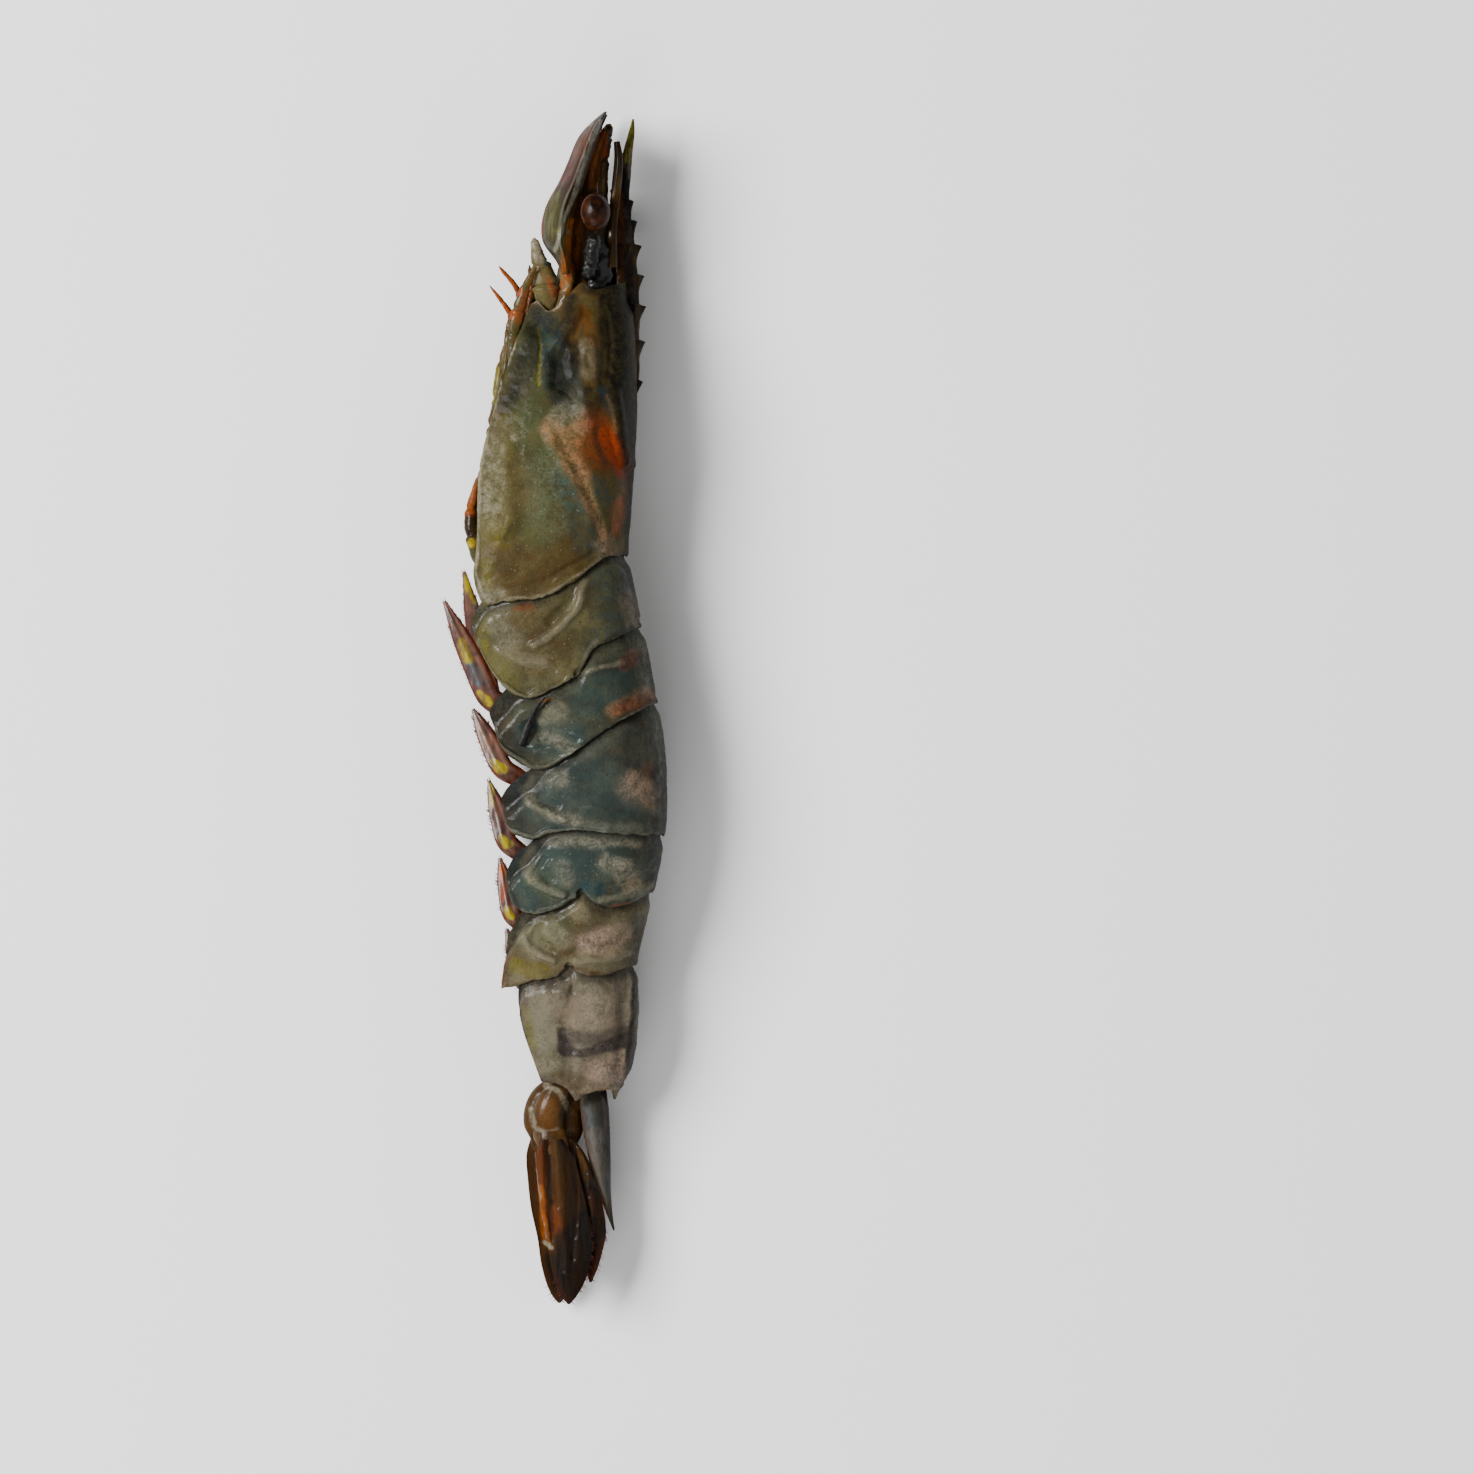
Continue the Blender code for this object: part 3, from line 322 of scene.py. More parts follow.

# The pale lines on each plate follow its ridges and rims: partly lighter rim, partly painted highlight on the
# ridges
SEGMENT_MARKS = [
    {   # 1
        "blue": [(0.5, 22, [(612, 580, 12), (622, 610, 8), (600, 660, 6)])],
        "dark": [
            (0.5, 16, [(632, 575, 6), (640, 610, 4)]),
            (0.5, 6, [(603, 646, 2), (618, 638, 2), (640, 624, 3)]),
            (0.95, 3, [(577, 672, 1.5), (578, 678, 2)])],
        "pink": [(0.5, 10, [(630, 600, 4), (634, 618, 4)])],
        "umber": [(0.5, 26, [(530, 630, 14), (545, 650, 12)]), (0.4, 12, [(578, 600, 5), (590, 590, 5)])],
        "olive": [(0.4, 8, [(480, 620, 3), (487, 650, 2)]), (0.2, 12, [(495, 660, 5), (512, 682, 4)])],
        "cream": [
            (0.33, 5, [(584, 583, 1.5), (580, 605, 2), (568, 625, 2), (550, 638, 1.5), (534, 645, 1)]),
            (0.3, 7, [(500, 648, 2), (520, 658, 3), (545, 662, 2)]),
            (0.4, 6, [(588, 660, 2), (598, 645, 1.5)]),
            (0.42, 1.8, [(484, 655, 0.5), (502, 685, 0.6), (528, 698, 0.6), (545, 694, 0.6),
                (560, 686, 0.6), (577, 677, 0.6), (590, 657, 0.5), (615, 640, 0.4)])],
        "pale": [(0.4, 12, [(510, 600, 5), (495, 625, 4), (515, 640, 4)])],
        "rust": [(0.35, 5, [(520, 610, 1), (532, 608, 1)])],
    },
    {   # 2
        "blue": [
            (0.55, 16, [(530, 735, 8), (560, 745, 8), (575, 735, 6)]),
            (0.5, 20, [(590, 700, 10), (620, 680, 8)])],
        "umber": [(0.5, 12, [(500, 715, 5), (508, 735, 5)])],
        "dark": [
            (0.65, 12, [(508, 738, 5), (516, 754, 5)]), (0.85, 8, [(625, 722, 3), (655, 706, 5)]),
            (0.7, 8, [(650, 660, 4), (660, 690, 3)])],
        "rust": [
            (0.32, 8, [(618, 712, 1), (636, 703, 2), (652, 697, 2)]),
            (0.25, 9, [(626, 664, 3), (636, 658, 3)])],
        "tan": [(0.6, 9, [(612, 712, 2), (632, 704, 4), (646, 694, 4)])],
        "cream": [
            (0.42, 3.5, [(583, 675, 0.8), (600, 669, 1), (622, 663, 0.8)]),
            (0.39, 3, [(622, 722, 0.8), (640, 712, 1), (653, 703, 0.8)]),
            (0.24, 1.8, [(488, 715, 0.5), (500, 748, 0.6), (537, 770, 0.6), (555, 764, 0.6),
                (580, 748, 0.5)])],
        "pale": [
            (0.5, 8, [(533, 738, 2), (552, 738, 2), (575, 750, 2)]),
            (0.5, 9, [(545, 720, 3), (560, 712, 4)])],
        "amber": [(0.7, 2, [(541, 702, 0.5), (553, 701, 0.6)])],
    },
    {   # 3
        "blue": [
            (0.5, 14, [(518, 785, 5), (525, 825, 6)]), (0.45, 24, [(560, 790, 12), (600, 785, 14)]),
            (0.4, 24, [(560, 820, 8), (620, 815, 14)])],
        "dark": [(0.5, 12, [(508, 800, 5), (517, 822, 4)]), (0.6, 10, [(662, 770, 3), (667, 830, 4)])],
        "umber": [(0.6, 9, [(508, 800, 4), (514, 820, 4)]), (0.75, 8, [(516, 814, 4), (528, 828, 4)])],
        "pink": [(0.55, 14, [(632, 785, 6), (648, 795, 6)])],
        "tan": [(0.3, 10, [(640, 780, 4), (650, 800, 4)])],
        "pale": [
            (0.4, 9, [(646, 792, 5)]), (0.45, 9, [(546, 774, 4), (562, 779, 4)]),
            (0.55, 6, [(534, 780, 2), (529, 794, 3), (535, 803, 2)]),
            (0.5, 8, [(553, 815, 3), (575, 819, 3)])],
        "rust": [(0.18, 9, [(650, 770, 4)])],
        "cream": [
            (0.36, 4.5, [(535, 778, 1), (524, 792, 1.4), (530, 803, 1.6), (545, 812, 1.4),
                (566, 820, 1.2)]), (0.21, 7, [(566, 820, 1), (600, 825, 2), (640, 828, 2)]),
            (0.3, 1.8, [(508, 828, 0.5), (535, 838, 0.7), (553, 833, 0.7), (579, 830, 0.6),
                (650, 835, 0.5)])],
    },
    {   # 4
        "blue": [
            (0.55, 14, [(520, 855, 5), (514, 880, 5), (525, 898, 6)]),
            (0.5, 24, [(560, 860, 12), (600, 850, 12)]), (0.8, 7, [(583, 886, 3), (600, 889, 4)])],
        "green": [(0.5, 14, [(530, 870, 4), (545, 885, 6)])],
        "umber": [(0.55, 9, [(510, 875, 4), (518, 900, 4)])],
        "dark": [(0.6, 9, [(655, 850, 4), (652, 885, 4)]), (0.9, 2.5, [(579, 892, 1.2), (582, 895, 1.4)])],
        "pale": [
            (0.35, 9, [(562, 868, 5), (566, 880, 3)]),
            (0.6, 6, [(533, 849, 2), (528, 862, 3), (533, 876, 2)]),
            (0.65, 7, [(548, 839, 4), (580, 841, 3), (612, 840, 3), (636, 839, 4)]),
            (0.7, 10, [(606, 862, 4), (624, 870, 6), (633, 882, 5)])],
        "tan": [(0.3, 8, [(632, 884, 4)])],
        "cream": [
            (0.42, 4, [(533, 848, 1), (524, 864, 1.5), (531, 880, 1.6), (545, 889, 1.4), (562, 894, 1)]),
            (0.45, 4.5, [(603, 901, 1), (625, 896, 1.8), (650, 886, 1.2)]),
            (0.24, 1.8, [(520, 909, 0.5), (530, 913, 0.6), (555, 909, 0.6), (578, 897, 0.5)])],
        "rust": [(0.35, 4, [(607, 912, 1), (640, 903, 1)])],
    },
    {   # 5
        "umber": [
            (0.5, 16, [(525, 950, 8), (545, 970, 8)]), (0.5, 14, [(565, 950, 5), (575, 935, 6)]),
            (0.85, 2.5, [(507, 985, 1), (535, 982, 1), (560, 978, 1), (572, 967, 1), (605, 976, 1),
                (636, 964, 1)])],
        "olive": [(0.4, 9, [(515, 965, 3), (545, 972, 4)])],
        "green": [(0.5, 18, [(530, 935, 6), (560, 930, 6)])],
        "pink": [(0.85, 12, [(588, 945, 5), (605, 942, 8), (622, 935, 4)])],
        "pale": [(0.5, 9, [(552, 930, 4), (565, 940, 4)]), (0.4, 10, [(528, 938, 6), (536, 952, 4)])],
        "dark": [(0.65, 6, [(640, 920, 3), (638, 960, 3)]),
            (0.9, 2.5, [(568, 966, 1.2), (572, 968, 1.2)])],
        "cream": [
            (0.36, 4, [(527, 917, 1), (522, 932, 1.4), (532, 950, 1.6), (555, 961, 1.2)]),
            (0.36, 3.5, [(577, 963, 0.8), (605, 961, 1), (630, 952, 0.8)])],
        "maroon": [(0.95, 2.5, [(517, 916, 1), (507, 935, 1.4), (504, 965, 1.4), (500, 988, 1.4)])],
    },
    {   # 6
        "green": [(0.4, 20, [(540, 1030, 8), (552, 1060, 6)])],
        "olive": [(0.3, 7, [(527, 1012, 2), (533, 1045, 3)]), (0.5, 3, [(607, 1088, 1), (614, 1096, 1)])],
        "umber": [
            (0.45, 14, [(560, 1085, 8), (587, 1086, 6)]), (0.4, 9, [(570, 1012, 4)]),
            (0.8, 3, [(550, 1085, 1), (570, 1098, 1.2), (607, 1089, 1.2), (622, 1086, 1.2)])],
        "dark": [
            (0.7, 9, [(548, 1084, 4), (556, 1092, 4)]),
            (0.95, 3.5, [(635, 968, 1.5), (634, 1020, 2.2), (630, 1065, 2), (622, 1090, 1.5)]),
            (0.8, 2.2, [(519, 988, 0.8), (521, 1025, 0.8), (535, 1065, 1), (542, 1082, 1)])],
        "pink": [
            (0.85, 14, [(598, 1070, 5), (614, 1076, 7), (618, 1060, 4)]),
            (0.35, 18, [(585, 1010, 8), (605, 1020, 8)])],
        "pale": [
            (0.55, 12, [(590, 985, 5), (600, 1010, 6), (585, 1040, 4)]),
            (0.4, 12, [(540, 1000, 4), (545, 1040, 5)]), (0.75, 8, [(607, 1076, 4), (616, 1080, 4)]),
            (0.7, 2.5, [(628, 975, 0.8), (629, 1030, 1), (626, 1080, 0.8)])],
        "band": [
            (1.0, 3.5, [(563, 1032, 3), (565, 1050, 5), (580, 1053, 2.5), (600, 1047, 4), (628, 1040, 7)]),
            (0.7, 7, [(566, 1036, 3), (600, 1038, 3), (626, 1033, 4)])],
        "cream": [(0.36, 2, [(573, 975, 0.6), (574, 992, 0.8)])],
    },
]
SEGMENT_FLECKS = [  # plates 1 to 6
    [(26, [(520, 640, 20), (560, 660, 12)])],
    [(20, [(545, 725, 14), (590, 735, 12)])],
    [(20, [(556, 785, 14)])],
    [(20, [(556, 865, 16), (620, 872, 16)])],
    [(20, [(560, 935, 14), (604, 945, 14)])],
    [(26, [(590, 1000, 16), (600, 1060, 14)])],
]

# Relief on the plates: (height in millimetres, soft edge, path on the sheet)
CARAPACE_RELIEF = [
    (-0.22, 7, [(560, 440, 1), (575, 465, 1), (590, 500, 1), (600, 535, 1)]),
    (0.4, 9, [(551, 436, 1), (566, 466, 1), (580, 494, 1), (592, 522, 1)]),
    (-0.15, 6, [(628, 470, 1), (620, 505, 1), (614, 535, 1)]),
    (-0.14, 2.2, [(540, 330, 0.4), (541, 350, 0.4), (538, 385, 0.4)]),
    (0.45, 9, [(577, 288, 2), (572, 318, 2), (558, 350, 2)]),
    (-0.6, 9, [(560, 352, 2), (562, 385, 3), (576, 396, 2)]),
    (0.5, 8, [(590, 345, 3), (591, 375, 3)]),
    (-0.25, 3, [(587, 358, 1), (587, 367, 1)]),
    (-0.5, 7, [(605, 300, 1), (608, 340, 2), (606, 385, 2)]),
    (0.5, 7, [(616, 395, 1), (621, 430, 1), (628, 465, 1)]),
    (-0.5, 10, [(604, 430, 4), (614, 458, 4)]),
    (0.3, 3, [(529, 305, 1), (537, 304, 1), (549, 314, 1), (561, 307, 1), (570, 292, 1)]),
    (-0.3, 4, [(532, 312, 1), (549, 322, 1), (563, 314, 1)]),
    (0.18, 2.5, [(513, 350, 0.5), (503, 378, 0.5), (486, 440, 0.5), (479, 510, 0.5), (477, 570, 0.5)]),
    (0.3, 16, [(500, 450, 6), (503, 520, 8)]),
    (0.2, 3, [(490, 603, 0.8), (535, 598, 0.8), (560, 588, 0.8), (583, 574, 0.8), (600, 559, 0.8)]),
    (-0.25, 4, [(495, 592, 0.8), (535, 586, 0.8), (556, 577, 0.8), (580, 562, 0.8), (600, 549, 0.8)]),
]
SEGMENT_RELIEF = [
    [
        (0.5, 5, [(585, 583, 1.2), (580, 605, 1.2), (567, 625, 1.2), (550, 638, 1.2), (534, 645, 1)]),
        (-0.35, 7, [(572, 590, 2), (566, 608, 2), (552, 622, 2)]),
        (-0.3, 5, [(596, 652, 1), (620, 636, 1), (640, 622, 1)]),
        (0.3, 5, [(500, 650, 1), (522, 660, 1.2), (548, 662, 1)]),
        (-0.8, 3, [(577, 675, 1.6)]),
        (0.3, 3, [(482, 655, 0.6), (502, 684, 0.6), (528, 697, 0.6), (560, 685, 0.6), (574, 676, 0.6)]),
        (-0.3, 8, [(530, 675, 3), (550, 672, 3)]),
    ],
    [
        (0.45, 4, [(583, 675, 1), (600, 669, 1), (622, 663, 1)]),
        (0.4, 4, [(622, 722, 1), (640, 712, 1), (653, 703, 1)]),
        (-0.4, 7, [(630, 705, 2), (650, 694, 2)]),
        (-0.5, 8, [(530, 725, 2), (542, 742, 2)]),
        (0.35, 6, [(533, 748, 1), (556, 748, 1.5), (580, 752, 1)]),
        (-0.3, 7, [(545, 735, 2), (575, 738, 2)]),
        (0.3, 3, [(488, 714, 0.6), (500, 747, 0.6), (537, 768, 0.6), (556, 763, 0.6), (580, 748, 0.6)]),
    ],
    [
        (0.55, 5, [(537, 777, 1.2), (525, 792, 1.4), (531, 803, 1.4), (546, 812, 1.2), (566, 820, 1)]),
        (-0.5, 6, [(545, 786, 2), (542, 800, 2), (556, 806, 2)]),
        (0.3, 6, [(566, 820, 1.5), (600, 825, 1.5), (645, 829, 1.5)]),
        (-0.3, 7, [(580, 812, 2), (620, 816, 2), (650, 818, 2)]),
        (0.3, 3, [(501, 801, 0.6), (508, 828, 0.6), (535, 838, 0.6), (553, 832, 0.6), (579, 829, 0.6)]),
    ],
    [
        (0.55, 5, [(535, 847, 1.2), (524, 865, 1.4), (531, 881, 1.4), (546, 890, 1.2), (564, 895, 1)]),
        (-0.5, 6, [(545, 858, 2), (540, 870, 2), (550, 880, 2)]),
        (0.4, 5, [(602, 901, 1), (625, 896, 1.2), (650, 886, 1)]),
        (-0.4, 6, [(605, 889, 2), (630, 884, 2), (650, 875, 2)]),
        (-0.8, 3, [(581, 893, 1.5)]),
        (0.3, 3, [(505, 880, 0.6), (520, 909, 0.6), (530, 912, 0.6), (556, 908, 0.6), (577, 896, 0.6)]),
    ],
    [
        (0.45, 5, [(528, 916, 1.2), (522, 932, 1.3), (532, 950, 1.3), (556, 961, 1)]),
        (-0.4, 6, [(540, 928, 2), (537, 940, 2), (552, 950, 2)]),
        (0.35, 4, [(577, 962, 1), (605, 960, 1), (630, 951, 1)]),
        (-0.35, 6, [(580, 952, 2), (605, 950, 2), (628, 941, 2)]),
        (-0.7, 3, [(570, 966, 1.4)]),
        (0.25, 3, [(517, 918, 0.6), (507, 938, 0.6), (504, 965, 0.6), (503, 982, 0.6)]),
    ],
    [
        (-0.5, 3.5, [(573, 970, 0.8), (574, 992, 0.8)]),
        (0.35, 7, [(562, 975, 2), (563, 1000, 2)]),
        (0.5, 5, [(634, 968, 1.6), (633, 1030, 1.6), (626, 1085, 1.4)]),
        (-0.4, 5, [(622, 975, 1.4), (622, 1030, 1.4), (616, 1080, 1.4)]),
        (-0.3, 8, [(568, 1020, 2), (569, 1075, 3)]),
        (-0.25, 5, [(566, 1050, 1.5), (600, 1046, 1.5), (626, 1040, 1.5)]),
        (0.3, 3, [(550, 1083, 0.6), (570, 1096, 0.6), (607, 1088, 0.6), (620, 1086, 0.6)]),
    ],
]

ROSTRUM_MARKS = {
    "amber": [(0.3, 4, [(620, 195, 1.5), (620, 240, 2), (621, 300, 2), (622, 345, 1.5)])],
    "umber": [(0.6, 4, [(636, 250, 1), (640, 320, 1), (638, 380, 1)])],
    "olive": [(0.85, 6, [(634, 119, 2), (630, 145, 2), (628, 160, 1)])],
    "cream": [(0.4, 3, [(631, 150, 0.5), (629, 178, 0.5)])],
}
SCALE_MARKS = {
    "green": [(0.6, 16, [(552, 205, 4), (556, 222, 5), (566, 250, 5)])],
    "olive": [(0.22, 12, [(554, 200, 3), (556, 230, 3)])],
    "maroon": [
        (0.55, 9, [(586, 138, 3), (576, 158, 3), (566, 180, 1.5)]),
        (0.9, 1.8, [(577, 140, 0.6), (560, 180, 0.7), (545, 210, 0.7), (541, 238, 0.7)])],
    "umber": [(0.85, 8, [(590, 142, 2), (582, 170, 3), (572, 195, 3), (560, 230, 2)])],
    "amber": [(0.85, 5, [(574, 225, 2), (568, 250, 2.5), (566, 272, 2)])],
    "dark": [
        (0.85, 4, [(600, 142, 1), (592, 170, 1.6), (582, 200, 2)]),
        (0.55, 5, [(580, 160, 1), (568, 190, 2), (558, 225, 2)]),
        (0.9, 2, [(601, 122, 0.8), (607, 113, 1)])],
    # Painted highlight along the shiny rib
    "silver": [
        (0.9, 1.8, [(601, 124, 0.6), (590, 152, 0.9), (578, 187, 1), (564, 225, 1), (556, 252, 0.7)])],
    "cream": [(0.9, 2.5, [(584, 124, 1.5), (591, 124, 2)])],
}
ANTENNULE_MARKS = {
    "amber": [
        (0.75, 5, [(570, 290, 3), (575, 245, 3), (583, 200, 2)]),
        (0.8, 6, [(596, 140, 2), (594, 165, 2), (592, 185, 1)])],
    "dark": [
        (0.85, 5, [(618, 140, 2), (618, 165, 2), (610, 190, 2)]),
        (0.8, 8, [(600, 200, 5), (598, 240, 6), (600, 285, 5)])],
    "rust": [(0.6, 4, [(606, 135, 1), (604, 155, 1.5)])],
}
ROOT_MARKS = {
    "amber": [(0.7, 6, [(566, 262, 2), (572, 290, 4)])],
    "umber": [(0.7, 6, [(556, 300, 3), (576, 300, 4)])],
    "rust": [(0.7, 3, [(556, 298, 0.8), (566, 280, 0.8), (574, 270, 0.8)])],
    "dark": [(0.8, 6, [(578, 305, 4), (580, 285, 4)]), (0.6, 4, [(548, 312, 3), (560, 316, 3)])],
}
ANTENNA_BASE_MARKS = {
    "tan": [(0.7, 4, [(545, 275, 1), (556, 300, 1.2), (572, 275, 1)])],
    "rust": [(0.65, 3, [(548, 280, 0.8), (556, 298, 0.8), (566, 282, 0.8)])],
    "blue": [(0.95, 3, [(547, 263, 1.5)])],
    "green": [(0.6, 7, [(536, 285, 2), (540, 300, 2)])],
    "cream": [(0.85, 7, [(535, 240, 2), (540, 256, 3)])],
    "dark": [(0.55, 7, [(565, 262, 3), (572, 268, 3)])],
}
LIMB_MARKS = {
    "rust": [(0.4, 4, [(544, 257, 1), (531, 290, 2), (520, 320, 2)])],
    "umber": [
        (0.8, 5, [(531, 252, 3), (530, 272, 3)]), (0.9, 4, [(497, 264, 2), (503, 272, 2)]),
        (0.9, 5, [(503, 330, 4), (514, 334, 4)])],
    "orange": [
        (0.8, 4, [(490, 286, 3), (502, 300, 3), (514, 314, 3)]),
        (0.65, 4, [(502, 272, 3), (512, 282, 3), (520, 292, 3)]),
        (0.7, 6, [(474, 490, 2), (470, 512, 3)])],
    "green": [
        (0.6, 7, [(527, 285, 1), (513, 340, 1.5), (498, 385, 3), (490, 405, 3)]),
        (0.8, 5, [(472, 553, 3), (474, 570, 3)])],
    "yellow": [
        (0.35, 4, [(498, 372, 2), (491, 400, 2)]), (0.9, 3, [(473, 543, 3)]), (1.0, 2.5, [(480, 565, 3)])],
    "tan": [(0.6, 6, [(480, 470, 2), (474, 495, 3)])],
    "dark": [(0.95, 2, [(477, 507, 1.2)]), (0.9, 5, [(471, 520, 3), (470, 535, 4)])],
}
SWIM_MARKS = {
    "yellow": [
        (0.85, 3, [(463, 642, 2), (468, 658, 4)]), (1.0, 2.5, [(480, 695, 2), (487, 701, 4)]),
        (1.0, 2.5, [(495, 762, 2), (502, 769, 4)]), (0.9, 2.5, [(492, 785, 1.5), (493, 805, 1.5)]),
        (1.0, 2.5, [(500, 836, 2), (507, 844, 4)]), (1.0, 2.5, [(507, 908, 2), (512, 915, 3)]),
        (0.8, 4, [(466, 578, 1.5), (474, 598, 2)])],
    "slate": [
        (0.85, 4, [(470, 666, 5), (479, 680, 6)]), (0.8, 4, [(474, 699, 1), (478, 708, 1.5)]),
        (0.8, 4, [(474, 602, 2), (483, 610, 2)])],
    "pink": [
        (0.6, 5, [(474, 715, 2), (481, 735, 2), (486, 752, 2)]),
        (0.6, 4, [(485, 800, 1.5), (490, 822, 1.5)])],
    "orange": [(0.95, 3, [(501, 862, 1.5), (503, 898, 1.5)])],
}
FAN_MARKS = {
    "orange": [
        (0.2, 6, [(540, 1150, 1), (541, 1195, 1.5), (545, 1235, 1)]),
        (0.22, 8, [(553, 1210, 1), (558, 1230, 3)])],
    "amber": [
        (0.75, 4, [(541, 1190, 1.5), (544, 1225, 2), (547, 1245, 1)]),
        (0.6, 5, [(588, 1195, 1.5), (592, 1215, 2)])],
    "umber": [
        (0.8, 10, [(560, 1145, 4), (566, 1180, 6), (572, 1210, 5)]),
        (0.7, 10, [(585, 1160, 3), (594, 1185, 3)])],
    "dark": [
        (0.75, 12, [(566, 1140, 3), (572, 1180, 5), (578, 1215, 8)]),
        (0.7, 9, [(590, 1175, 3), (600, 1210, 4)]),
        (0.9, 9, [(588, 1185, 3), (592, 1205, 4), (575, 1238, 5)]),
        (1.0, 14, [(594, 1228, 9), (584, 1252, 10), (574, 1282, 8), (568, 1300, 4)]),
        (1.0, 10, [(552, 1262, 4), (560, 1285, 4)]),
        (1.0, 14, [(590, 1215, 6), (572, 1240, 8), (566, 1268, 9), (572, 1292, 6)]),
        (0.8, 3, [(549, 1150, 0.8), (550, 1190, 1), (552, 1232, 1)]),
        (0.7, 3.5, [(577, 1140, 0.8), (577, 1190, 1), (574, 1230, 1.5)])],
    # Pale lines along the fan's ribs: partly lighter rib, partly painted highlight
    "cream": [
        (0.6, 1.2, [(533, 1115, 0.3), (536, 1170, 0.3), (541, 1205, 0.3), (547, 1240, 0.3)]),
        (0.95, 2, [(546, 1245, 1.5), (551, 1248, 1.2)])],
    "maroon": [
        (0.9, 2.5, [(606, 1235, 0.8), (604, 1248, 0.8), (590, 1283, 0.8), (569, 1304, 1.2),
            (548, 1262, 0.6)])],
    "green": [(0.4, 4, [(590, 1130, 1), (598, 1165, 1.2), (604, 1200, 1)])],
}
UROPOD_MARKS = {
    "amber": [(0.15, 10, [(548, 1110, 5), (547, 1125, 5)])],
    "tan": [(0.2, 10, [(548, 1112, 4)])],
    # Pale lines along the ridges: partly lighter rim, partly painted highlight
    "cream": [
        (0.7, 3, [(545, 1087, 1), (556, 1091, 1.5), (566, 1104, 1.5), (578, 1122, 1.2)]),
        (0.6, 2.5, [(531, 1110, 0.8), (534, 1128, 0.8), (545, 1134, 0.8), (560, 1130, 0.8)])],
    "umber": [(0.7, 6, [(535, 1095, 2), (530, 1112, 2)])],
    "dark": [(0.6, 5, [(563, 1112, 2), (568, 1125, 2)])],
}
TELSON_MARKS = {
    "slate": [(0.6, 8, [(590, 1110, 4), (598, 1150, 4), (606, 1195, 2)])],
    "pink": [(0.15, 8, [(596, 1135, 3), (602, 1170, 3)])],
    "dark": [
        (0.95, 4, [(609, 1100, 1.5), (611, 1150, 2), (613, 1195, 1.5), (617, 1232, 1.5)]),
        (0.6, 4, [(585, 1103, 2), (603, 1096, 2)])],
    "maroon": [(0.7, 2, [(582, 1112, 0.4), (590, 1160, 0.5), (603, 1205, 0.5)])],
}

# Soft parts between the plates and limbs: (across, down, half width) on the sheet
ANTENNULE_INNER = [(578, 298, 12), (579, 262, 13), (584, 215, 12), (593, 170, 10), (601, 143, 7),
                   (606, 130, 3)]
ANTENNULE_OUTER = [(612, 268, 6), (613, 225, 5), (617, 185, 5), (619, 160, 4.5), (617, 142, 3)]
ANTENNA_ROOT = [(560, 322, 12), (566, 300, 15), (568, 276, 12), (570, 252, 7)]
# path of the near-black body that paints the shade of the hollow round the eyes
EYE_SOCKET = [(592, 312, 12), (596, 286, 17), (598, 258, 16), (600, 232, 11)]
SOFT_ROUNDNESS = {"tail": (2.4, 0.25), "socket": (3.6, 0.35), "root": (5.2, 0.3)}  # (half height, roughness)
ANTENNULE_BLADES = (("inner", ANTENNULE_INNER, 2.6, 0.6), ("outer", ANTENNULE_OUTER, 1.9, 0.9))
TAIL_JOINT = [(566, 1076, 15), (565, 1100, 18), (560, 1122, 23), (557, 1140, 24), (560, 1162, 14)]

FAN_RELIEF = [
    (0.32, 3.5, [(541, 1140, 1.2), (542, 1190, 1.2), (548, 1242, 1)]),
    (-0.3, 3, [(549, 1145, 0.8), (550, 1190, 0.8), (553, 1240, 0.8)]),
    (0.3, 5, [(560, 1140, 1.5), (563, 1190, 2), (566, 1270, 1.5)]),
    (-0.28, 3.5, [(576, 1135, 0.8), (577, 1190, 0.8), (573, 1260, 0.8)]),
    (0.3, 4, [(586, 1140, 1), (591, 1190, 1.2), (592, 1245, 1)]),
]


def tone(label, use, red, green, blue, deepen=WET_DEPTH):
    """Colour property from screen values of 0 to 255: linear light, deeper and fuller as on a wet surface."""
    linear = [((c / 255 + 0.055) / 1.055) ** 2.4 if c > 10 else c / 3295 for c in (red, green, blue)]
    grey = 0.3 * linear[0] + 0.6 * linear[1] + 0.1 * linear[2]
    shown = [max(0.001, deepen * (grey + WET_FULLNESS * (c - grey))) for c in linear]
    return FloatVectorProperty(name=label, description=use, default=shown, size=3, min=0, max=1,
                               subtype="COLOR")


def length(label, use, millimetres):
    return FloatProperty(name=label, description=use, default=millimetres * MM, min=0, unit="LENGTH")


class PrawnSizes(bpy.types.PropertyGroup):
    wrinkle: length("Wrinkles", "Height of the low swells on the shell", 0.1)
    grain: length("Grain", "Height of the fine grain on the shell", 0.035)
    edge_wave: length("Edge wave", "How far the plates' rear edges wander", 0.22)
    hair_length: length("Hair length", "Length of the fringe hairs on swimming legs and tail", 1.1)
    hair_width: length("Hair width", "Thickness of a fringe hair at its root", 0.09)
    hair_spacing: length("Hair spacing", "Distance between fringe hairs", 0.34)
    rows: IntProperty(name="Plate rows", description="Mesh rows along a tail plate", default=84, min=8)
    columns: IntProperty(name="Plate columns", description="Mesh columns round one side of a plate",
                         default=84, min=8)


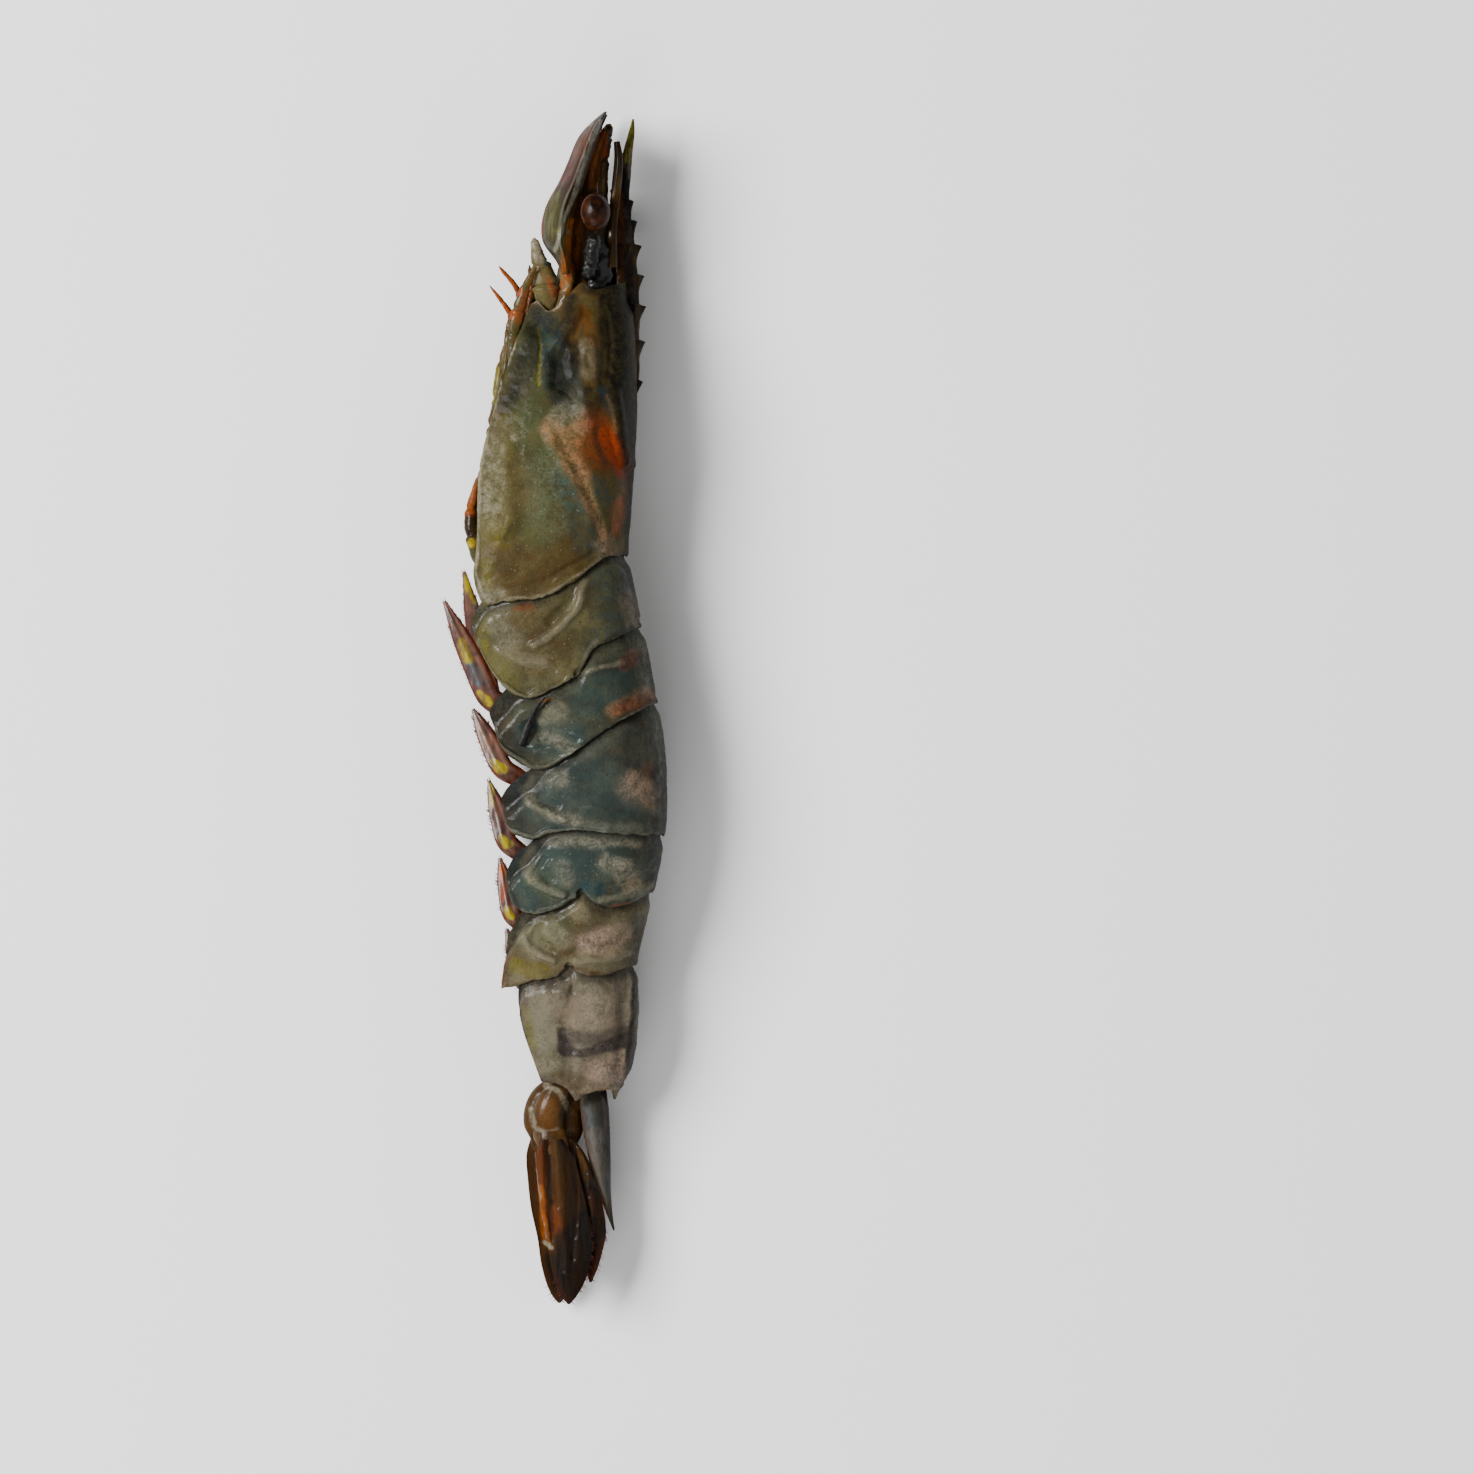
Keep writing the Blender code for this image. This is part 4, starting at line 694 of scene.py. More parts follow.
class PrawnColours(bpy.types.PropertyGroup):
    carapace: tone("Head shell", "Ground colour of the head shell", 92, 84, 56)
    segment_1: tone("Plate 1", "Ground colour of tail plate 1", 100, 95, 70)
    segment_2: tone("Plate 2", "Ground colour of tail plate 2", 82, 84, 70)
    segment_3: tone("Plate 3", "Ground colour of tail plate 3", 80, 82, 72)
    segment_4: tone("Plate 4", "Ground colour of tail plate 4", 80, 85, 75)
    segment_5: tone("Plate 5", "Ground colour of tail plate 5", 116, 109, 88)
    segment_6: tone("Plate 6", "Ground colour of tail plate 6", 128, 119, 103)
    rostrum: tone("Rostrum", "Ground colour of the rostrum", 26, 18, 13)
    telson: tone("Telson", "Ground colour of the telson", 86, 79, 68)
    fan: tone("Tail fan", "Ground colour of the tail fan", 76, 48, 27)
    uropod: tone("Fan base", "Ground colour of the fan's base joint", 86, 62, 38)
    scale: tone("Antennal scale", "Ground colour of the antennal scale", 68, 48, 32)
    antennule: tone("Antennule", "Ground colour of the antennule stem", 76, 54, 26)
    antenna_base: tone("Antenna base", "Ground colour of the antenna's base", 118, 104, 72)
    limb: tone("Legs", "Ground colour of the walking legs", 106, 82, 50)
    swim: tone("Swimming legs", "Ground colour of the swimming legs", 104, 50, 32)
    eye: tone("Eye", "Colour of the eye", 66, 36, 22)
    flesh: tone("Flesh", "Colour of the meat between the plates", 150, 138, 118)
    fragment: tone("Scrap", "Colour of the dark scrap of shell", 18, 17, 17)
    hair: tone("Hairs", "Colour of the fringe hairs", 120, 52, 30)
    # Near-black: the shell's own dark marks, and also painted shade along the head shell's back, in the
    # hollow round the eyes and where plates overlap
    dark: tone("Dark marks", "Near-black marks", 17, 15, 12)
    band: tone("Band", "Tiger band on the last plate", 62, 54, 54)
    umber: tone("Umber marks", "Brown marks", 88, 66, 40)
    # Also used for painted light down the head shell's belly edge
    pale: tone("Pale marks", "Grey-white mottling", 172, 166, 146)
    # Pale lines on ridges and rims: partly the shell's lighter rims, partly painted highlight where the
    # ridges catch the light
    cream: tone("Cream lines", "Light ridges and edges", 178, 170, 148)
    green: tone("Green marks", "Green-teal mottling", 78, 92, 62)
    blue: tone("Blue marks", "Teal-blue mottling", 50, 80, 84)
    slate: tone("Slate marks", "Blue-grey marks", 96, 104, 108)
    # Pale line on the antennal scale's rib: painted highlight of the shiny rib
    silver: tone("Silver rib", "Shiny rib of the antennal scale", 170, 168, 152)
    maroon: tone("Margins", "Dark red edges of plates and blades", 112, 50, 34)
    rust: tone("Rust marks", "Orange-red marks", 184, 82, 26)
    orange: tone("Orange marks", "Orange limb tips", 190, 96, 30)
    amber: tone("Amber marks", "Yellow-brown marks", 170, 104, 36)
    tan: tone("Tan marks", "Pinkish-tan lines", 172, 136, 104)
    pink: tone("Pink marks", "Pink-grey patches", 190, 166, 148)
    olive: tone("Olive marks", "Yellow-green marks", 150, 142, 66)
    yellow: tone("Yellow spots", "Bright spots of the swimming legs", 204, 186, 44)
    floor: tone("Floor", "Plain pale floor", 240, 240, 240, 1.0)


# Smooth curves and noise

def smooth(points, at):
    """Smooth curve through (place, value) points at each place asked, level past its ends."""
    points = np.array(sorted(points), float)
    places, values = points[:, 0], points[:, 1]
    index = np.arange(len(places))
    low, high = np.maximum(index - 1, 0), np.minimum(index + 1, len(places) - 1)
    slope = (values[high] - values[low]) / (places[high] - places[low])
    at = np.clip(np.asarray(at, float), places[0], places[-1])
    i = np.clip(np.searchsorted(places, at, side="right") - 1, 0, len(places) - 2)
    span = places[i + 1] - places[i]
    s = (at - places[i]) / span
    start = (2 * s**3 - 3 * s**2 + 1) * values[i] + (s**3 - 2 * s**2 + s) * span * slope[i]
    end = (3 * s**2 - 2 * s**3) * values[i + 1] + (s**3 - s**2) * span * slope[i + 1]
    return start + end


def ease(s):
    s = np.clip(s, 0, 1)
    return s * s * (3 - 2 * s)


def bell(value, middle, width):
    return np.exp(-((value - middle) / width) ** 2)


def rounded(part, power, least):
    """1 along the middle of a part from 0 to 1, falling towards its ends."""
    return np.sqrt(np.clip(1 - np.abs(2 * part - 1) ** power, least, 1))


def column(table, k, y):
    """Smooth curve through one column of a table that starts with y."""
    return smooth([(row[0], row[k]) for row in table], y)


def unit(vectors):
    return vectors / np.maximum(np.linalg.norm(vectors, axis=-1, keepdims=True), 1e-9)


def points_of(x, y, z):
    return np.stack(np.broadcast_arrays(x, y, z), -1)


def round_angles(count):
    return np.linspace(0, 2 * np.pi, count, endpoint=False)


def noise(points, size, seed=0):
    """Smooth random values from -1 to 1 at points, with lumps of about this size."""
    places = np.asarray(points) / size + 31.7 * seed
    cell = np.floor(places).astype(np.int64)
    part = ease(places - cell)
    total = np.zeros(places.shape[:-1])
    for corner in product((0, 1), repeat=3):
        at = cell + np.array(corner)
        number = at[..., 0] * 374761393 + at[..., 1] * 668265263 + at[..., 2] * 1440662683
        number = (number ^ (number >> 13)) * 1274126177
        value = ((number ^ (number >> 16)) & 0xFFFF) / 0x7FFF - 1
        total += value * np.prod(np.where(np.array(corner) == 1, part, 1 - part), axis=-1)
    return total


# Body envelope

def depth_of(turn):
    """Depth below the back for a turn from 0 at the back to 1 at the belly edge."""
    upper = WIDEST * (1 - np.cos(np.pi * np.minimum(turn, 0.5)) ** (2 / BACK_POWER))
    return np.where(turn < 0.5, upper, WIDEST + (1 - WIDEST) * (2 * turn - 1))


def width_at(depth):
    upper = (1 - np.abs(1 - np.minimum(depth, WIDEST) / WIDEST) ** BACK_POWER) ** (1 / BACK_POWER)
    lower = 1 - BELLY_TUCK * ((depth - WIDEST) / (1 - WIDEST)) ** 2
    return np.where(depth < WIDEST, upper, lower)


def section_point(y, depth, inset):
    """x and distance from the middle plane of the body's surface, moved in by inset."""
    back, belly, half = smooth(BACK, y), smooth(BELLY, y), smooth(HALF_WIDTH, y)
    step = 0.01
    above = np.maximum(depth - step, 0)
    lower = half * (width_at(depth + step) - width_at(above))
    along = (back - belly) * (depth + step - above)
    size = np.hypot(lower, along)
    normal_out = np.where(depth > 0, along / size, 0)
    normal_up = np.where(depth > 0, lower / size, 1)
    x = back - (back - belly) * depth - inset * normal_up
    return x, np.maximum(half * width_at(depth) - inset * normal_out, 0)


def body_point(y, depth, side, inset):
    x, across = section_point(y, depth, inset)
    return points_of(x, y, np.maximum(smooth(MIDDLE, y) + side * across, np.maximum(inset, 0)))


# Meshes from grids of points

def grid_faces(rows, columns, offset=0, closed=False):
    """Quads of a grid of points; closed joins the last column to the first."""
    i = np.arange(rows - 1)[:, None] * columns
    j = np.arange(columns if closed else columns - 1)[None, :]
    k = (j + 1) % columns
    return np.stack([i + j, i + columns + j, i + columns + k, i + k], -1).reshape(-1, 4) + offset


def slab(top, bottom):
    """Closed body between two grids of points, with a rim round their borders."""
    rows, columns = top.shape[:2]
    count = rows * columns
    index = np.arange(count).reshape(rows, columns)
    border = np.concatenate([index[0, :-1], index[:-1, -1], index[-1, :0:-1], index[:0:-1, 0]])
    following = np.roll(border, -1)
    rim = np.stack([border, following, following + count, border + count], -1)
    faces = [grid_faces(rows, columns), grid_faces(rows, columns, count)[:, ::-1], rim]
    return np.concatenate([top.reshape(-1, 3), bottom.reshape(-1, 3)]), np.concatenate(faces).tolist()


def loft(rings):
    """Closed body through rings of points, each end closed by a fan."""
    rows, sides = rings.shape[:2]
    points = np.concatenate([rings.reshape(-1, 3), rings[:1].mean(1), rings[-1:].mean(1)])
    faces = grid_faces(rows, sides, closed=True).tolist()
    last, count = (rows - 1) * sides, rows * sides
    for j in range(sides):
        k = (j + 1) % sides
        faces += [[j, k, count], [last + k, last + j, count + 1]]
    return points, faces


def joined(bodies):
    """Several (points, faces) bodies as one."""
    points, faces, count = [], [], 0
    for body_points, body_faces in bodies:
        points.append(body_points)
        faces += [[v + count for v in face] for face in body_faces]
        count += len(body_points)
    return np.concatenate(points), faces


def volume(points, faces):
    total = 0.0
    for size in (3, 4):
        corners = np.array([face for face in faces if len(face) == size], int).reshape(-1, size)
        for k in range(1, size - 1):
            a, b, c = points[corners[:, 0]], points[corners[:, k]], points[corners[:, k + 1]]
            total += np.einsum("ij,ij->", a, np.cross(b, c))
    return total


def facing_out(body):
    points, faces = body
    return body if volume(points, faces) > 0 else (points, [face[::-1] for face in faces])


def normals_of(grid, centre):
    """Directions out of a grid of points, away from centre points."""
    normal = unit(np.cross(np.gradient(grid, axis=0), np.gradient(grid, axis=1)))
    return normal if np.sum(normal * (grid - centre)) > 0 else -normal


# Marks on the side-view sheet

def sheet_places(points):
    """Places on the sheet, in its steps, of points in millimetres, with a wandering edge."""
    places = np.stack([points[:, 0] / STEP + SHEET_ZERO[0], SHEET_ZERO[1] - points[:, 1] / STEP], -1)
    for size, reach in ((4.0, 2.2), (1.3, 1.1), (0.5, 0.5)):
        places[:, 0] += reach * noise(points, size, 1)
        places[:, 1] += reach * noise(points, size, 2)
    return places


def off_sheet(across, down):
    """x and y in millimetres of a place on the sheet."""
    return (across - SHEET_ZERO[0]) * STEP, (SHEET_ZERO[1] - down) * STEP


def outside(places, path):
    """How far each place is outside a path of (across, down, half width) points."""
    best = np.full(len(places), 1e9)
    for a, b in zip(path, path[1:] or path):
        a, b = np.array(a, float), np.array(b, float)
        way = b[:2] - a[:2]
        t = np.clip((places - a[:2]) @ way / max(way @ way, 1e-9), 0, 1)
        away = np.linalg.norm(places - a[:2] - t[:, None] * way, axis=1)
        best = np.minimum(best, away - a[2] - t * (b[2] - a[2]))
    return best


def mark_values(places, marks):
    """{tone: strength at each place} of marks, the strongest where they meet."""
    values = {}
    for name, strokes in marks.items():
        each = [strength * ease(1 - outside(places, path) / soft) for strength, soft, path in strokes]
        values[name] = np.max(each, axis=0)
    return values


def relief_values(points, relief):
    places = sheet_places(points)
    total = np.zeros(len(points))
    for height, soft, path in relief:
        total += height * ease(1 - outside(places, path) / soft)
    return total


def swell(points, sizes):
    """Low swells and fine grain of a shell surface, in millimetres."""
    low = noise(points, 5.0, 3) + 0.5 * noise(points, 2.2, 4) + 0.25 * noise(points, 1.1, 5)
    fine = noise(points, 0.7, 6) + 0.6 * noise(points, 0.4, 7)
    return (sizes.wrinkle * low + sizes.grain * fine) / MM


# Pieces

def add_piece(name, body, material, nodes, marks=(), values=None, sharp=50):
    """Makes the object of a (points, faces) body in millimetres, with its marks, on the frame."""
    points, faces = facing_out(body)
    mesh = bpy.data.meshes.new(name)
    world = (points - np.array([BOX_CENTRE, 0, 0])) * MM
    world[:, 2] = np.maximum(world[:, 2], 0)
    mesh.from_pydata(world.tolist(), [], faces)
    mesh.shade_smooth()
    mesh.set_sharp_from_angle(angle=math.radians(sharp))
    layers = dict(values or {})
    if marks:
        layers.update(mark_values(sheet_places(points), marks))
    for layer, value in layers.items():
        attribute = mesh.attributes.new(layer, "FLOAT", "POINT")
        attribute.data.foreach_set("value", np.asarray(value, np.float32))
    mesh.materials.append(material)
    piece = bpy.data.objects.new(name, mesh)
    bpy.context.scene.collection.objects.link(piece)
    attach(piece, "root")
    if nodes:
        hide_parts(*nodes)
    return piece


def plate(front, rear, belly, rows, columns, relief, sizes):
    """Closed shell plate with its relief, and the share of painted contact shadow where its front comes out
    from under the plate before it.
    """
    turn = np.linspace(-1, 1, 2 * columns + 1)[None, :]
    away, side = np.abs(turn), np.where(turn < 0, -1, 1)
    start, stop = smooth(front, depth_of(away)), smooth(rear, depth_of(away))
    v = np.linspace(0, 1, rows + 1)[:, None]
    y = start + (stop - start) * v
    depth = depth_of(away) * smooth(belly, y)
    buried = 1 - ease((start - y - UNDERLAP) / FACET_RISE)
    outer = body_point(y, depth, side, LAYER * buried)
    normal = normals_of(outer, points_of(0.5 * (smooth(BACK, y) + smooth(BELLY, y)), y, smooth(MIDDLE, y)))
    inner = outer - normal * SHELL_THICKNESS
    flat = outer.reshape(-1, 3)
    free = 1 - buried
    height = (relief_values(flat, relief) + swell(flat, sizes)).reshape(depth.shape) * free
    rim = np.minimum(y - stop, (1 - away) * SIDE_WAY)
    height -= RIM_DROP * (1 - np.clip(rim / RIM_WIDTH, 0, 1)) ** 2 * free
    outer = outer + normal * height[..., None]
    wave = sizes.edge_wave / MM * (noise(outer, 1.6, 8) + 0.5 * noise(outer, 0.6, 9))
    wave *= ease(1 - (y - stop) / WAVE_REACH) * ease((1 - away) * SIDE_FADE)
    outer[..., 1] += wave
    inner[..., 1] += wave
    # Painted contact shadow where the plate comes out from under the one before; the shell there is also
    # wetter
    seam = ease(1 - (start - y - UNDERLAP) / OVERLAP_SHADE_WIDTH) ** 1.5
    return slab(outer, inner), np.concatenate([seam.ravel(), seam.ravel()])


def plate_fronts():
    fronts = []
    for before, lobe in zip([CARAPACE_REAR] + SEGMENT_REARS, LOBE_FRONTS):
        hidden = [(depth, y + UNDERLAP) for depth, y in before if depth < lobe[0][0] - LOBE_GAP]
        fronts.append(hidden + lobe)
    return fronts


def fleck_values(points, areas):
    places = sheet_places(points)
    return {"fleck": np.max([ease(1 - outside(places, path) / soft) for soft, path in areas], axis=0)}


def saw(y, teeth):
    height = np.zeros_like(y)
    for tip, most in teeth:
        rising = most * np.clip((y - tip + TOOTH_SLOPE) / TOOTH_SLOPE, 0, 1) ** TOOTH_HOLLOW
        falling = most * np.clip(1 - (y - tip) / TOOTH_DROP, 0, 1)
        height = np.maximum(height, np.where(y <= tip, rising, falling))
    return height


def closed_curve(points, count):
    """Points along a smooth closed curve through (a, b) points."""
    points = np.array(points + points[:1], float)
    places = np.linspace(0, len(points) - 1, count, endpoint=False)
    wrapped = np.concatenate([points[-3:-1], points, points[1:3]])
    index = np.arange(-2, len(points) + 2)
    return np.stack([smooth(list(zip(index, wrapped[:, k])), places) for k in (0, 1)], -1)


def rostrum_body():
    y = np.linspace(ROSTRUM_BACK[0][0], ROSTRUM_BACK[-1][0], 420)[:, None]
    top = smooth(ROSTRUM_BACK, y) + saw(y, BACK_TEETH)
    low = smooth(ROSTRUM_UNDER, y) - saw(y, UNDER_TEETH)
    section = closed_curve(ROSTRUM_SECTION, 28)
    rings = points_of(low + (top - low) * section[:, 0], y,
                      smooth(MIDDLE, y) + smooth(ROSTRUM_HALF_WIDTH, y) * section[:, 1])
    away = unit(rings - rings.mean(1, keepdims=True))
    deep, middle, wide = ROSTRUM_GROOVE
    end, reach = ROSTRUM_FADE
    fade = np.clip((end - y) / reach, 0, 1)
    rings = rings - away * (deep * bell(section[:, 0], middle, wide) * fade)[..., None]
    return loft(rings + away * (0.05 * noise(rings, 0.8, 10) * fade)[..., None])


def leaf(outline, height, side, shift, sizes):
    """Flat blade of the tail fan with its ribs."""
    first, last = outline[0][0], outline[-1][0]
    v = np.linspace(0, 1, FAN_GRID[0])[:, None]
    v = np.where(v > 0.9, 0.9 + 0.1 * np.sin((v - 0.9) / 0.1 * np.pi / 2), v)
    y = first + (last - first) * v
    low, high = column(outline, 1, y), column(outline, 2, y)
    place = 0.5 - 0.5 * np.cos(np.linspace(0, np.pi, FAN_GRID[1]))[None, :]
    middle = smooth(MIDDLE, y) + side * (height[0] + (height[1] - height[0]) * v)
    half = 0.5 * FAN_THICKNESS * (1 - 0.5 * v)
    bow = LEAF_BOW * (place - 0.5) ** 2 * (high - low)
    x = low + (high - low) * place + shift
    grids = [points_of(x, y, middle + side * (half * smooth(profile, place) + rim - bow))
             for profile, rim in ((LEAF_TOP, SLAB_RIM), (LEAF_UNDER, -SLAB_RIM))]
    flat = grids[0].reshape(-1, 3) - np.array([shift, 0, 0])
    streaks = 0.06 * noise(flat * np.array([1, 0.12, 0]), 0.45, 11)
    rise = relief_values(flat, FAN_RELIEF) + streaks + 0.4 * swell(flat, sizes)
    grids[0][..., 2] += side * rise.reshape(x.shape) * ease(np.minimum(place, 1 - place) * 8)
    return slab(*grids)


def dense(path, count):
    """Points on a smooth curve through the points of a path."""
    path = np.array(path, float)
    places = np.linspace(0, len(path) - 1, count)
    return np.stack([smooth(list(zip(range(len(path)), column)), places) for column in path.T], -1)


def limb_line(path, side, count):
    """Values along a path of (x, y, distance from the middle plane, ...), its points and their directions."""
    line = dense(path, count)
    centre = points_of(line[:, 0], line[:, 1], smooth(MIDDLE, line[:, 1]) + side * line[:, 2])
    return line, centre, unit(np.gradient(centre, axis=0))


def tube(path, side, sides, count, flat=1.0, joints=(), rough=0.03, seed=20):
    """Closed body round a path of (x, y, distance from the middle plane, radius) points."""
    line, centre, ahead = limb_line(path, side, count)
    radius = line[:, 3]
    way = np.linspace(0, len(path) - 1, count)
    for joint in joints:
        radius = radius * (1 - 0.2 * bell(way, joint, 0.07) + 0.1 * bell(way, joint - 0.16, 0.09))
    radius = radius * np.minimum(1, 0.25 + np.minimum(way, way[-1] - way) * 4)
    out = unit(np.array([0, 0, 1.0]) - ahead * ahead[:, 2:])
    across = np.cross(ahead, out)
    angle = round_angles(sides)[None, :, None]
    ring = across[:, None] * np.cos(angle) + flat * out[:, None] * np.sin(angle)
    rings = centre[:, None] + ring * radius[:, None, None]
    lumps = rough * (noise(rings, 0.9, seed) + 0.6 * noise(rings, 0.45, seed + 1))
    return loft(rings + ring * lumps[..., None])


def antennal_scale(side, sizes):
    v = np.linspace(0, 1, SCALE_GRID[0])[:, None]
    y = SCALE_BLADE[0][0] + (SCALE_BLADE[-1][0] - SCALE_BLADE[0][0]) * v
    low, high = column(SCALE_BLADE, 1, y), column(SCALE_BLADE, 2, y)
    place = np.linspace(0, 1, SCALE_GRID[1])[None, :]
    inner, rib, outer = SCALE_HEIGHTS
    narrow = np.minimum(1, (high - low) / 3)
    half = 0.5 * FAN_THICKNESS * np.maximum(narrow, 0.4)
    level = rib + (smooth([(0, inner), (SCALE_RIB, rib), (1, outer)], place) - rib) * narrow
    x = low + (high - low) * place
    ridge = 0.35 * bell(place, SCALE_RIB, 0.035) - 0.2 * bell(place, SCALE_RIB - 0.1, 0.04)
    middle = smooth(MIDDLE, y)
    top = level + half * smooth(SCALE_TOP, place) + SLAB_RIM + ridge * narrow
    under = level + half * smooth(SCALE_UNDER, place) - SLAB_RIM
    grids = [points_of(x, y, middle + side * height) for height in (top, under)]
    grain = swell(grids[0].reshape(-1, 3), sizes).reshape(x.shape)
    grids[0][..., 2] += side * 0.5 * grain * ease(np.minimum(place, 1 - place) * 8)
    return slab(*grids)


def blade(path, widths, thickness, side, rows, columns, seed):
    """Leaf-shaped limb along a path: wide in the side view, thin across it."""
    _, centre, ahead = limb_line(path, side, rows)
    wide = smooth(list(enumerate(widths)), np.linspace(0, len(widths) - 1, rows))[:, None]
    across = unit(np.stack([ahead[:, 1], -ahead[:, 0], np.zeros(rows)], -1))
    place = np.sin(np.linspace(-np.pi / 2, np.pi / 2, columns))[None, :]
    spread = centre[:, None] + across[:, None] * (wide * place)[..., None]
    lens = np.sqrt(np.clip(1 - place**2, 0, 1)) ** 0.8
    half = thickness * np.minimum(1, wide) * lens
    crease = 0.12 * bell(place, -0.15, 0.12) - 0.1 * bell(place, 0.3, 0.15)
    rough = 0.05 * noise(spread * np.array([1, 0.3, 1]), 0.5, seed)
    top, under = spread.copy(), spread.copy()
    top[..., 2] += side * (half + SLAB_RIM + (crease + rough) * lens * np.minimum(1, wide))
    under[..., 2] -= side * (half + SLAB_RIM)
    edge = np.broadcast_to(np.abs(place), half.shape).ravel()
    end = np.broadcast_to(np.linspace(0, 1, rows)[:, None], half.shape).ravel()
    return slab(top, under), np.tile(edge, 2), np.tile(end, 2), top


def soft_body(path, high, rough):
    """Lumpy closed body across the middle plane, along a path on the sheet."""
    way = dense(path, 70)
    x, y = off_sheet(way[:, :1], way[:, 1:2])
    full = rounded(np.linspace(0, 1, len(way)), 6, 0.05)[:, None]
    angle = round_angles(48)
    rings = points_of(x + way[:, 2:] * STEP * full * np.cos(angle), y,
                      smooth(MIDDLE, y) + high * full * np.sin(angle))
    away = unit(rings - rings.mean(1, keepdims=True))
    return loft(rings + away * (rough * (noise(rings, 2.2, 15) + 0.6 * noise(rings, 0.9, 16)))[..., None])


def hairs(line, out, sizes, seed, length=1.0, start=0.0):
    """Fringe of tapering hairs along a line of points, each pointing out."""
    way = np.concatenate([[0], np.cumsum(np.linalg.norm(np.diff(line, axis=0), axis=1))])
    count = int((1 - start) * way[-1] * MM / sizes.hair_spacing)
    random = np.random.default_rng(seed)
    at = way[-1] * (start + (1 - start) * np.sort(random.random(max(count, 2))))
    bodies = []
    for place in at:
        root = np.array([np.interp(place, way, line[:, k]) for k in range(3)])
        aim = np.array([np.interp(place, way, out[:, k]) for k in range(3)])
        aim = unit(unit(aim) + random.normal(0, 0.22, 3) * np.array([1, 1, 0.5]))
        size = length * sizes.hair_length / MM * random.uniform(0.55, 1.1)
        side = unit(np.cross(aim, [0, 0, 1.0]))
        up = np.cross(side, aim)
        wide = 0.5 * sizes.hair_width / MM
        ring = [root - aim * 0.15 + wide * (side * math.cos(a) + up * math.sin(a)) for a in (0, 2.1, 4.2)]
        middle = [p + aim * size * 0.55 + (root - p) * 0.35 for p in ring]
        tip = root + aim * size + random.normal(0, 0.06, 3)
        faces = [[2, 1, 0], [0, 1, 4, 3], [1, 2, 5, 4], [2, 0, 3, 5], [3, 4, 6], [4, 5, 6], [5, 3, 6]]
        bodies.append(facing_out((np.array(ring + middle + [tip]), faces)))
    return joined(bodies)


# Materials

class Value:
    """A shader value: Python sums on it add Math nodes."""

    def __init__(self, shading, socket):
        self.shading, self.socket = shading, socket

    def _math(self, operation, *values):
        return self.shading.node("ShaderNodeMath", {"operation": operation}, *values)

    def __add__(self, other):
        return self._math("ADD", self, other)

    def __sub__(self, other):
        return self._math("SUBTRACT", self, other)

    def __rsub__(self, other):
        return self._math("SUBTRACT", other, self)

    def __mul__(self, other):
        return self._math("MULTIPLY", self, other)

    __radd__ = __add__
    __rmul__ = __mul__

    def clamped(self):
        return self.shading.node("ShaderNodeClamp", {}, self)

    def between(self, low, high):
        """0 below low, 1 above high, smooth between."""
        return self.shading.node("ShaderNodeMapRange", {"interpolation_type": "SMOOTHSTEP"}, self, low, high)


class Shading:
    """Material built from nodes."""

    def __init__(self, name):
        self.material = bpy.data.materials.new(name)
        self.material.use_nodes = True
        self.tree = self.material.node_tree
        self.shader = self.tree.nodes["Principled BSDF"]
        self.place = self.node("ShaderNodeTexCoord", {}, output="Object")

    def connect(self, socket, value):
        if isinstance(value, Value):
            self.tree.links.new(value.socket, socket)
        else:
            socket.default_value = value

    def node(self, kind, settings, *values, output=0, order=None, **named):
        """A node of this type with its settings, then the values or links of its sockets."""
        node = self.tree.nodes.new(kind)
        for key, value in settings.items():
            setattr(node, key, value)
        for index, value in zip(order or range(len(values)), values):
            self.connect(node.inputs[index], value)
        for key, value in named.items():
            self.connect(node.inputs[key.replace("_", " ")], value)
        return Value(self, node.outputs[output])

    def layer(self, name):
        return self.node("ShaderNodeAttribute", {"attribute_name": name}, output="Fac")

    def noise(self, size, detail=3.0, stretch=None, roughness=0.55):
        """Noise from 0 to 1 with lumps of this size in millimetres."""
        place = self.place
        if stretch:
            place = self.node("ShaderNodeVectorMath", {"operation": "MULTIPLY"}, place, stretch)
        return self.node("ShaderNodeTexNoise", {}, Vector=place, Scale=1 / (size * MM), Detail=detail,
                         Roughness=roughness)

    def cells(self, size):
        """Distance to the nearest of random points this far apart, in parts of that."""
        return self.node("ShaderNodeTexVoronoi", {}, Vector=self.place, Scale=1 / (size * MM),
                         output="Distance")

    def mix(self, below, above, share):
        """Colour between two colours."""
        colours = [c if isinstance(c, Value) else (*c, 1) for c in (below, above)]
        settings = {"data_type": "RGBA", "clamp_factor": True}
        return self.node("ShaderNodeMix", settings, share, *colours, order=(0, 6, 7), output=2)

    def bump(self, height, strength, distance):
        """Normal of a height that is given in parts of distance, in millimetres."""
        return self.node("ShaderNodeBump", {}, Strength=strength, Distance=distance * MM, Height=height,
                         output="Normal")

    def finish(self, **sockets):
        for key, value in sockets.items():
            self.connect(self.shader.inputs[key.replace("_", " ")], value)
        return self.material


def scaled(colour, amount):
    return tuple(min(1.0, c * amount) for c in colour)


def tones_of(marks):
    """The tones that marks use, in the order they are laid on."""
    return [name for name in TONE_ORDER if name in marks]


